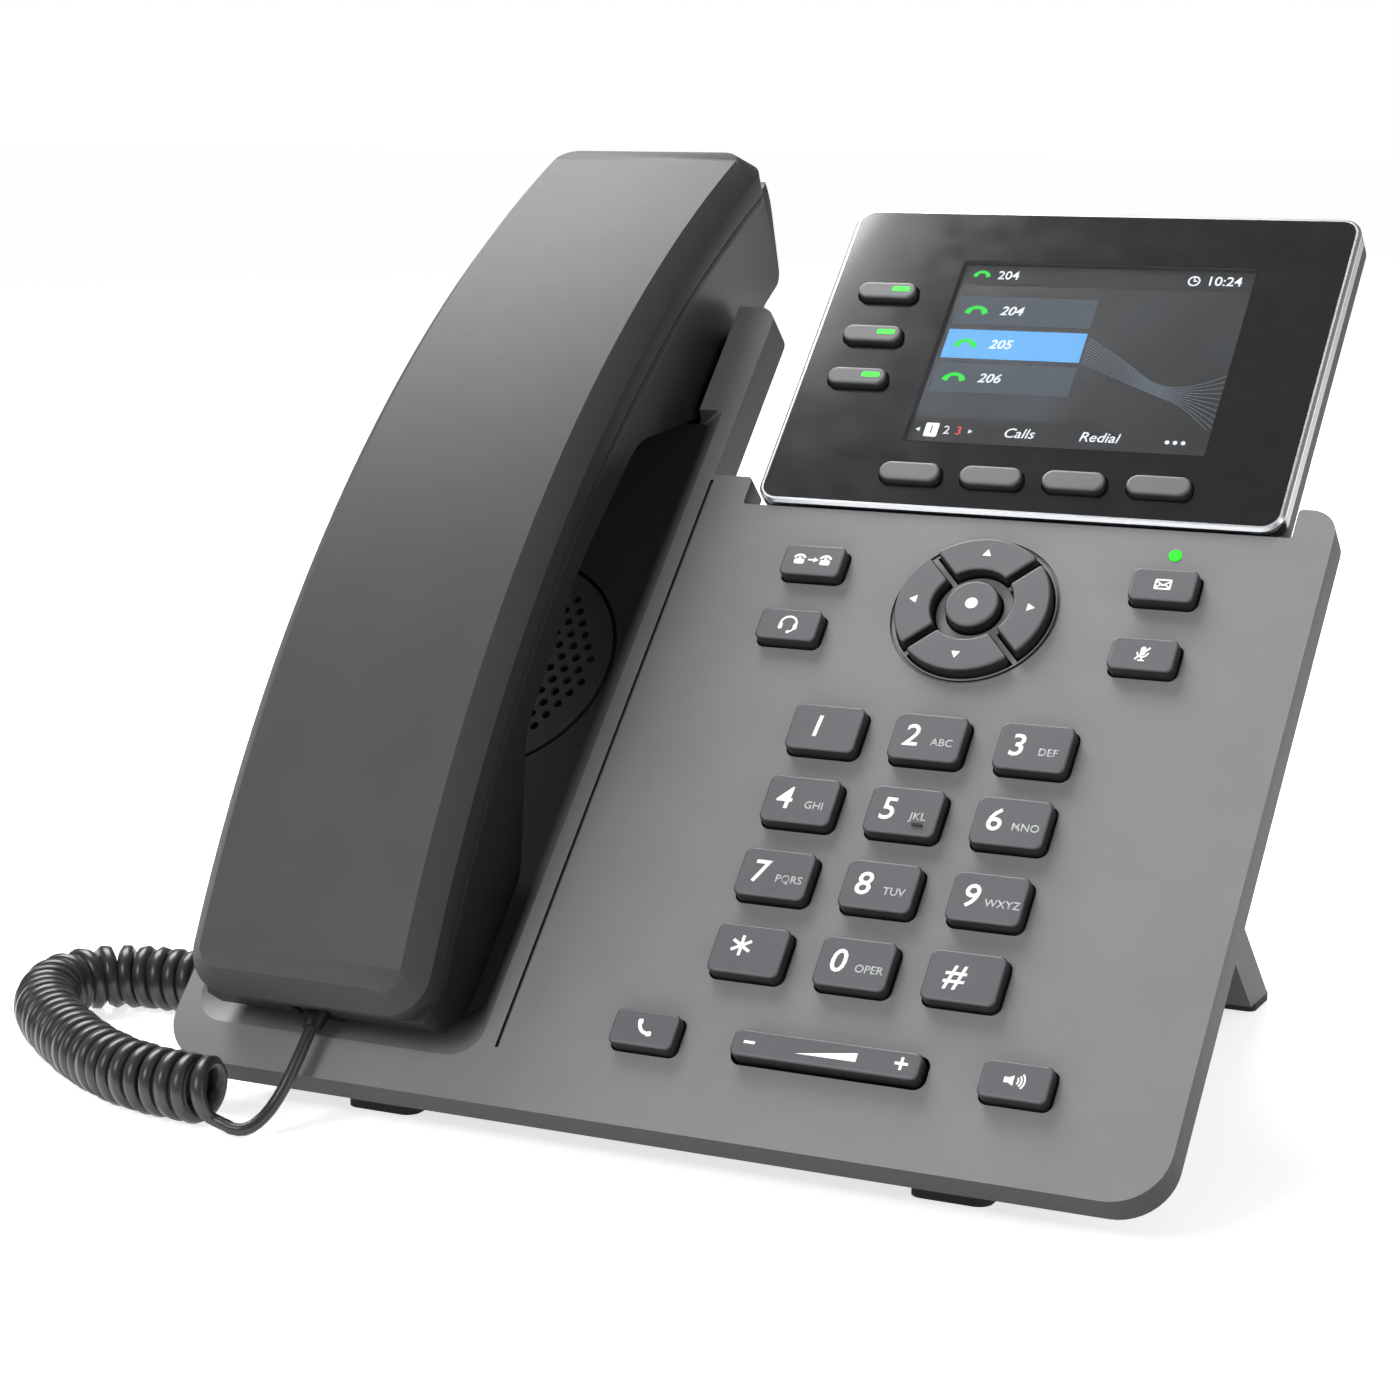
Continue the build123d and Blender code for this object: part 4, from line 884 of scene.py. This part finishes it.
@dataclass
class CurlyCord:
    """Handset cord: a flat-wound coil on the desk between two straight leads, sizes in millimetres."""

    deck: Deck = field(default_factory=Deck)
    diameter: float = 2.4
    coil_diameter: float = 12.4
    pitch: float = 3.3
    flatness: float = 1.34
    points_per_turn: int = 14
    ramp: float = 7.0
    exit_place: tuple[float, float, float] = (-61.8, 7.5, 3.6)
    base_boot: float = -36.0
    jack_place: tuple[float, float] = (-16.0, 70.0)
    still_place: tuple[float, float, float] = (-140.0, 36.0, 6.0)
    lifted_place: tuple[float, float, float] = (-133.7, -6.4, 6.0)

    def handset_lead(self) -> list[Vector]:
        """Points of the lead from the handset's plug to the coil."""
        u, v, w = self.exit_place
        spots = [(-63.6, -6.8, 4.8), (-65.3, -10.6, 1.9), (-67.8, -12.4, 1.3), (-71.5, -11.1, 2.3)]
        near = [self.deck.point(u, v, w), self.deck.point(u, v - 8.0, w)]
        return near + [self.deck.desk(*spot) for spot in spots]

    def coil_line(self) -> list[Vector]:
        """Points of the coil's middle line on the desk."""
        height = self.coil_diameter / 2 + 0.05
        spots = [(-71.5, -8.0), (-88.0, -8.6), (-105.0, -1.5), (-120.5, 9.5), (-133.5, 21.0), (-140.0, 34.0),
                 (-134.5, 44.5), (-121.0, 47.0), (-105.5, 47.5), (-90.0, 51.0), (-75.0, 56.0), (-60.0, 59.5),
                 (-46.0, 60.5), (-32.0, 60.0)]
        return [self.deck.desk(x, y, height) for x, y in spots]

    def base_lead(self) -> list[Vector]:
        """Points of the lead from the plug under the base to the coil."""
        u, v = self.jack_place
        spots = [(-15.5, 86.5, 18.0), (-14.5, 86.5, 9.5), (-13.5, 81.0, 2.8), (-15.0, 71.0, 1.3),
                 (-21.5, 63.0, 1.3), (-31.5, 59.7, 1.3)]
        start = [self.deck.point(u, v, self.base_boot), self.deck.point(u, v, self.base_boot - 9.5)]
        return start + [self.deck.desk(*s) for s in spots]

    @staticmethod
    def _line(points: list[Vector], detail: int) -> list[Vector]:
        """Points along the smooth curve of a route."""
        mesh = curve_mesh([points], detail)
        line = [vertex.co.copy() for vertex in mesh.vertices]
        bpy.data.meshes.remove(mesh)
        return line

    def _winding(self, start: Vector, end: Vector) -> list[Vector]:
        """Points of the coil's turns, which open where the coil bends and ease into both leads.

        Args:
            start: last point of the handset's lead.
            end: last point of the base's lead.

        Returns:
            Control points of the helix, in metres.
        """
        line = self._line(self.coil_line(), 24)
        steps = [(b - a).length for a, b in zip(line, line[1:])]
        travel = [0.0]
        for step in steps:
            travel.append(travel[-1] + step)
        total = travel[-1] / MM
        radius = (self.coil_diameter - self.diameter) / 2

        def frame_at(s: float) -> tuple[Vector, Vector, Vector]:
            """Point, direction and side of the middle line at a distance along it in millimetres."""
            want = min(max(s * MM, 0.0), travel[-1] - 1e-9)
            index = next(i for i in range(len(steps)) if travel[i + 1] > want)
            share = (want - travel[index]) / steps[index]
            point = line[index].lerp(line[index + 1], share)
            low, high = max(index - 1, 0), min(index + 2, len(line) - 1)
            along = (line[high] - line[low]).normalized()
            return point, along, Vector((-along.y, along.x, 0)).normalized()

        def spacing(s: float) -> float:
            """Pitch at a distance along the line: wide enough that turns clear each other inside a bend."""
            bends = [10 / max(frame_at(at - 5)[1].angle(frame_at(at + 5)[1]), 1e-4)
                     for at in (s - 6, s - 2, s + 2, s + 6)]
            wanted = [max(self.pitch, 1.12 * self.diameter * bend / max(bend - radius, 1.0))
                      for bend in bends]
            return sum(wanted) / len(wanted)

        def phase_of(point: Vector, s: float) -> float:
            """Angle round the middle line of a point of the wire."""
            middle, _, side = frame_at(s)
            away = point - middle
            return math.atan2(away.z, away.dot(side))

        turn_rate, s, wound = [], 0.0, 0.0
        while s < total:
            rate = 2 * math.pi / spacing(s) * max(0.02, min(1.0, s / self.ramp, (total - s) / self.ramp))
            stride = (2 * math.pi * radius / self.points_per_turn) / math.sqrt(1 + (radius * rate) ** 2)
            turn_rate.append((s, rate, stride))
            wound += rate * stride
            s += stride
        first = phase_of(start, 0.0)
        wanted = phase_of(end, total) - first
        wanted += 2 * math.pi * round((wound - wanted) / (2 * math.pi))
        ratio = wanted / wound
        grown = radius * MM / math.cos(math.pi / self.points_per_turn)
        phase, points = first, []
        for s, rate, stride in turn_rate:
            middle, _, side = frame_at(s)
            points.append(middle + side * (grown * math.cos(phase)) + Vector((0, 0, grown * math.sin(phase))))
            phase += rate * stride * ratio
        return points[1:]

    def build(self) -> None:
        near, far = self.handset_lead(), self.base_lead()
        route = near[:-1] + self._winding(near[-1], far[-1]) + far[-2::-1]
        path = self._line(route, 3)
        tube = curve_mesh([route], 3, self.diameter / 2 * MM)
        self._flatten(tube, path)
        mesh = bmesh.new()
        mesh.from_mesh(tube)
        piece = show("handset_cord", mesh, Finish.CORD, smooth=True)
        self.deck.desk(*self.still_place)
        self.deck.desk(*self.lifted_place)
        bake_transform(piece)
        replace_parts(piece, "cord_coil", "cord_handset_lead", "cord_base_lead")
        length = sum((b - a).length for a, b in zip(path, path[1:]))
        log.info("handset cord: %d points, %.3f m", len(path), length)
        tuple(near[0])
        [tuple(p) for p in path]

    def _flatten(self, tube: bpy.types.Mesh, path: list[Vector]) -> None:
        """Widen the wire along the coil, as a flat jacket lies in its turns, and keep the leads round."""
        line = self._line(self.coil_line(), 24)
        sides = len(tube.vertices) // len(path)
        reach = self.coil_diameter * MM
        for index, centre in enumerate(path):
            nearest = min(range(1, len(line) - 1), key=lambda i: (line[i] - centre).length_squared)
            if nearest in (1, len(line) - 2) or (line[nearest] - centre).length > reach:
                continue
            along = (line[nearest + 1] - line[nearest - 1]).normalized()
            for vertex in tube.vertices[index * sides:(index + 1) * sides]:
                away = (vertex.co - centre).dot(along)
                vertex.co += along * (away * (self.flatness - 1))


@dataclass
class HandsetSkin:
    """Outer mouldings of the handset with the soft edges that their tool gives them."""

    crown_soft_mm: float = 1.1
    body_soft_mm: float = 0.7

    def build(self) -> None:
        """Replace the two handset mouldings by softened copies."""
        self._soften("handset_back_shell", "handset_crown", self.crown_soft_mm, Finish.HANDSET)
        self._soften("handset_front_shell", "handset_cups", self.body_soft_mm, Finish.HANDSET_FRONT)

    @staticmethod
    def _soften(node: str, name: str, width: float, finish: Finish) -> None:
        """Copy a CAD node, merge its triangles and round its long edges.

        Args:
            node: CAD node that the copy stands for.
            name: new piece's name.
            width: width of the rounding in millimetres.
            finish: finish of the copy.
        """
        mesh = bmesh.new()
        mesh.from_mesh(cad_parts[node].data)
        bmesh.ops.remove_doubles(mesh, verts=mesh.verts, dist=0.002 * MM)
        bmesh.ops.dissolve_limit(mesh, angle_limit=math.radians(0.6), verts=mesh.verts, edges=mesh.edges)
        long_edges = [edge for edge in mesh.edges
                      if edge.is_manifold and edge.calc_face_angle(0) > math.radians(28)
                      and edge.calc_length() > 0.6 * MM]
        bmesh.ops.bevel(mesh, geom=long_edges, offset=width * MM, offset_type="OFFSET", segments=3,
                        profile=0.5, affect="EDGES", material=-1, clamp_overlap=True)
        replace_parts(new_piece(name, mesh, finish, "handset"), node)


@dataclass
class SocketContacts:
    """Gold-flashed spring contacts inside the network sockets behind the deck."""

    deck: Deck = field(default_factory=Deck)
    count: int = 8
    pitch: float = 1.02
    length: float = 8.0
    lean: float = math.radians(14)
    socket_shift: float = 10.0
    place: tuple[float, float] = (121.5, -11.8)

    def build(self) -> None:
        """Bend one row of contacts for each socket."""
        low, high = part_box("network_jacks")
        middle = (low.x + high.x) / 2 / MM
        for name, shift in (("contacts_a", -self.socket_shift), ("contacts_b", self.socket_shift)):
            mesh = bmesh.new()
            for index in range(self.count):
                across = (index - (self.count - 1) / 2) * self.pitch
                made = bmesh.ops.create_cube(mesh, size=1.0)
                bmesh.ops.scale(mesh, vec=(0.34, self.length, 0.3), verts=made["verts"])
                bmesh.ops.rotate(mesh, cent=(0, self.length / 2, 0), verts=made["verts"],
                                 matrix=Matrix.Rotation(self.lean, 3, "X"))
                bmesh.ops.translate(mesh, vec=(across, 0, 0), verts=made["verts"])
            mesh.transform(self.deck.matrix(middle + shift, *self.place))
            new_piece(name, mesh, Finish.GOLD, "base", smooth=False)


@dataclass
class Dressing:
    """Finishes of the CAD nodes that stay as they are."""

    finishes: tuple[tuple[Finish, tuple[str, ...]], ...] = (
        (Finish.DECK, ("faceplate",)),
        (Finish.SHELL, ("rear_shell", "stand", "display_rear_cover", "hook_plunger")),
        (Finish.BEZEL, ("display_bezel", "lcd_module")),
        (Finish.TRIM, ("display_trim",)),
        (Finish.BOARD, ("display_board", "main_board")),
        (Finish.SILICONE, ("key_mat",)),
        (Finish.RUBBER, ("rubber_feet",)),
        (Finish.STEEL, ("case_screws", "handset_microphone")),
        (Finish.SOCKET, ("network_jacks", "power_jack", "audio_jacks", "hook_microswitch", "handset_plug",
                         "cord_base_plug")),
        (Finish.GRILLE, ("speaker_grille",)),
        (Finish.PAPER_CONE, ("loudspeaker", "handset_receiver")),
        (Finish.GREEN_LAMP, ("message_lens",)))

    def build(self) -> None:
        """Give every shown CAD node its finish."""
        for finish, nodes in self.finishes:
            for node in nodes:
                self._wear(node, finish)
        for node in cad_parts:
            if node.startswith(("line_key", "soft_key")):
                self._wear(node, Finish.PILL)
            elif node != "key_mat" and (node.startswith(("key_", "nav_"))
                                        or node.endswith(("_key", "_rocker", "_button"))):
                self._wear(node, Finish.CAP)

    @staticmethod
    def _wear(node: str, finish: Finish) -> None:
        """Put one finish on all of a node's material slots."""
        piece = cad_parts[node]
        if not piece.material_slots:
            piece.data.materials.append(finish.material())
        for slot in piece.material_slots:
            slot.material = finish.material()
        log.info("dressed %s in %s", node, finish.value.name)


@dataclass
class Studio:
    """White sweep, large soft lights and the camera."""

    eye: tuple[float, float, float] = (230.19, -448.94, 179.32)
    gaze: tuple[float, float, float] = (-0.42495, 0.88447, -0.19270)
    lens: float = 82.06
    sensor: float = 36.0
    sky: float = 0.28
    backdrop: float = 1.0
    floor_half: float = 6.0
    floor_drop: float = 0.0002
    softboxes: tuple[tuple[str, tuple[float, float, float], tuple[float, float], float], ...] = (
        ("crest_softbox", (-0.58, 0.42, 1.07), (0.8, 0.8), 20.0),
        ("front_softbox", (-0.4, -0.98, 0.78), (0.45, 0.45), 5.6),
        ("side_softbox", (1.1, -0.25, 0.35), (0.3, 0.7), 2.0))
    deck: Deck = field(default_factory=Deck)

    def build(self) -> None:
        """Make the camera first, then the floor and the lights."""
        self._camera()
        self._floor()
        self._sky()
        for softbox in self.softboxes:
            self._softbox(*softbox)
        bpy.context.scene.view_settings.view_transform = "Standard"

    def _camera(self) -> None:
        """Camera at the viewing angle that the telephone is shown from."""
        data = bpy.data.cameras.new("camera")
        data.lens, data.sensor_width = self.lens, self.sensor
        data.clip_start, data.clip_end = 0.01, 20
        camera = bpy.data.objects.new("camera", data)
        camera.location = self.deck.desk(*self.eye)
        camera.rotation_mode = "QUATERNION"
        camera.rotation_quaternion = Vector(self.gaze).to_track_quat("-Z", "Y")
        bpy.context.scene.collection.objects.link(camera)
        bpy.context.scene.camera = camera

    def _floor(self) -> None:
        """Plain pale floor, wide enough for every view."""
        mesh = bmesh.new()
        bmesh.ops.create_grid(mesh, x_segments=1, y_segments=1, size=self.floor_half)
        floor = show("floor", mesh, Finish.SWEEP)
        floor.location.z = -self.floor_drop

    def _sky(self) -> None:
        """Even white surroundings."""
        world = bpy.data.worlds.new("studio")
        world.use_nodes = True
        tree = world.node_tree
        tree.nodes.clear()
        paths = add_node(tree, "ShaderNodeLightPath")
        seen = add_node(tree, "ShaderNodeBackground", {"Color": (1, 1, 1, 1), "Strength": self.backdrop})
        light = add_node(tree, "ShaderNodeBackground", {"Color": (1, 1, 1, 1), "Strength": self.sky})
        mixed = add_node(tree, "ShaderNodeMixShader", {},
                         {0: paths.outputs["Is Camera Ray"], 1: light.outputs[0], 2: seen.outputs[0]})
        output = add_node(tree, "ShaderNodeOutputWorld")
        tree.links.new(mixed.outputs[0], output.inputs["Surface"])
        bpy.context.scene.world = world

    @staticmethod
    def _softbox(name: str, place: tuple[float, float, float], size: tuple[float, float],
                 power: float) -> None:
        """Area light that looks at the middle of the telephone.

        Args:
            name: light's name.
            place: where it hangs, in metres.
            size: its width and height in metres.
            power: its power in watts.
        """
        data = bpy.data.lights.new(name, "AREA")
        data.shape, data.size, data.size_y, data.energy = "RECTANGLE", size[0], size[1], power
        light = bpy.data.objects.new(name, data)
        light.location = place
        light.rotation_mode = "QUATERNION"
        light.rotation_quaternion = (Vector((0, 0, 0.08)) - Vector(place)).to_track_quat("-Z", "Y")
        bpy.context.scene.collection.objects.link(light)


def main() -> None:
    """Build the studio and every sub-assembly, the camera and the cord first."""
    logging.basicConfig(level=logging.INFO, format="%(name)s: %(message)s")
    for assembly in (Studio(), CurlyCord(), Dressing(), HandsetSkin(), KeyLegends(), LitDisplay(),
                     SocketContacts()):
        assembly.build()
        log.info("finished %s", type(assembly).__name__)


if __name__ == "__main__":
    main()
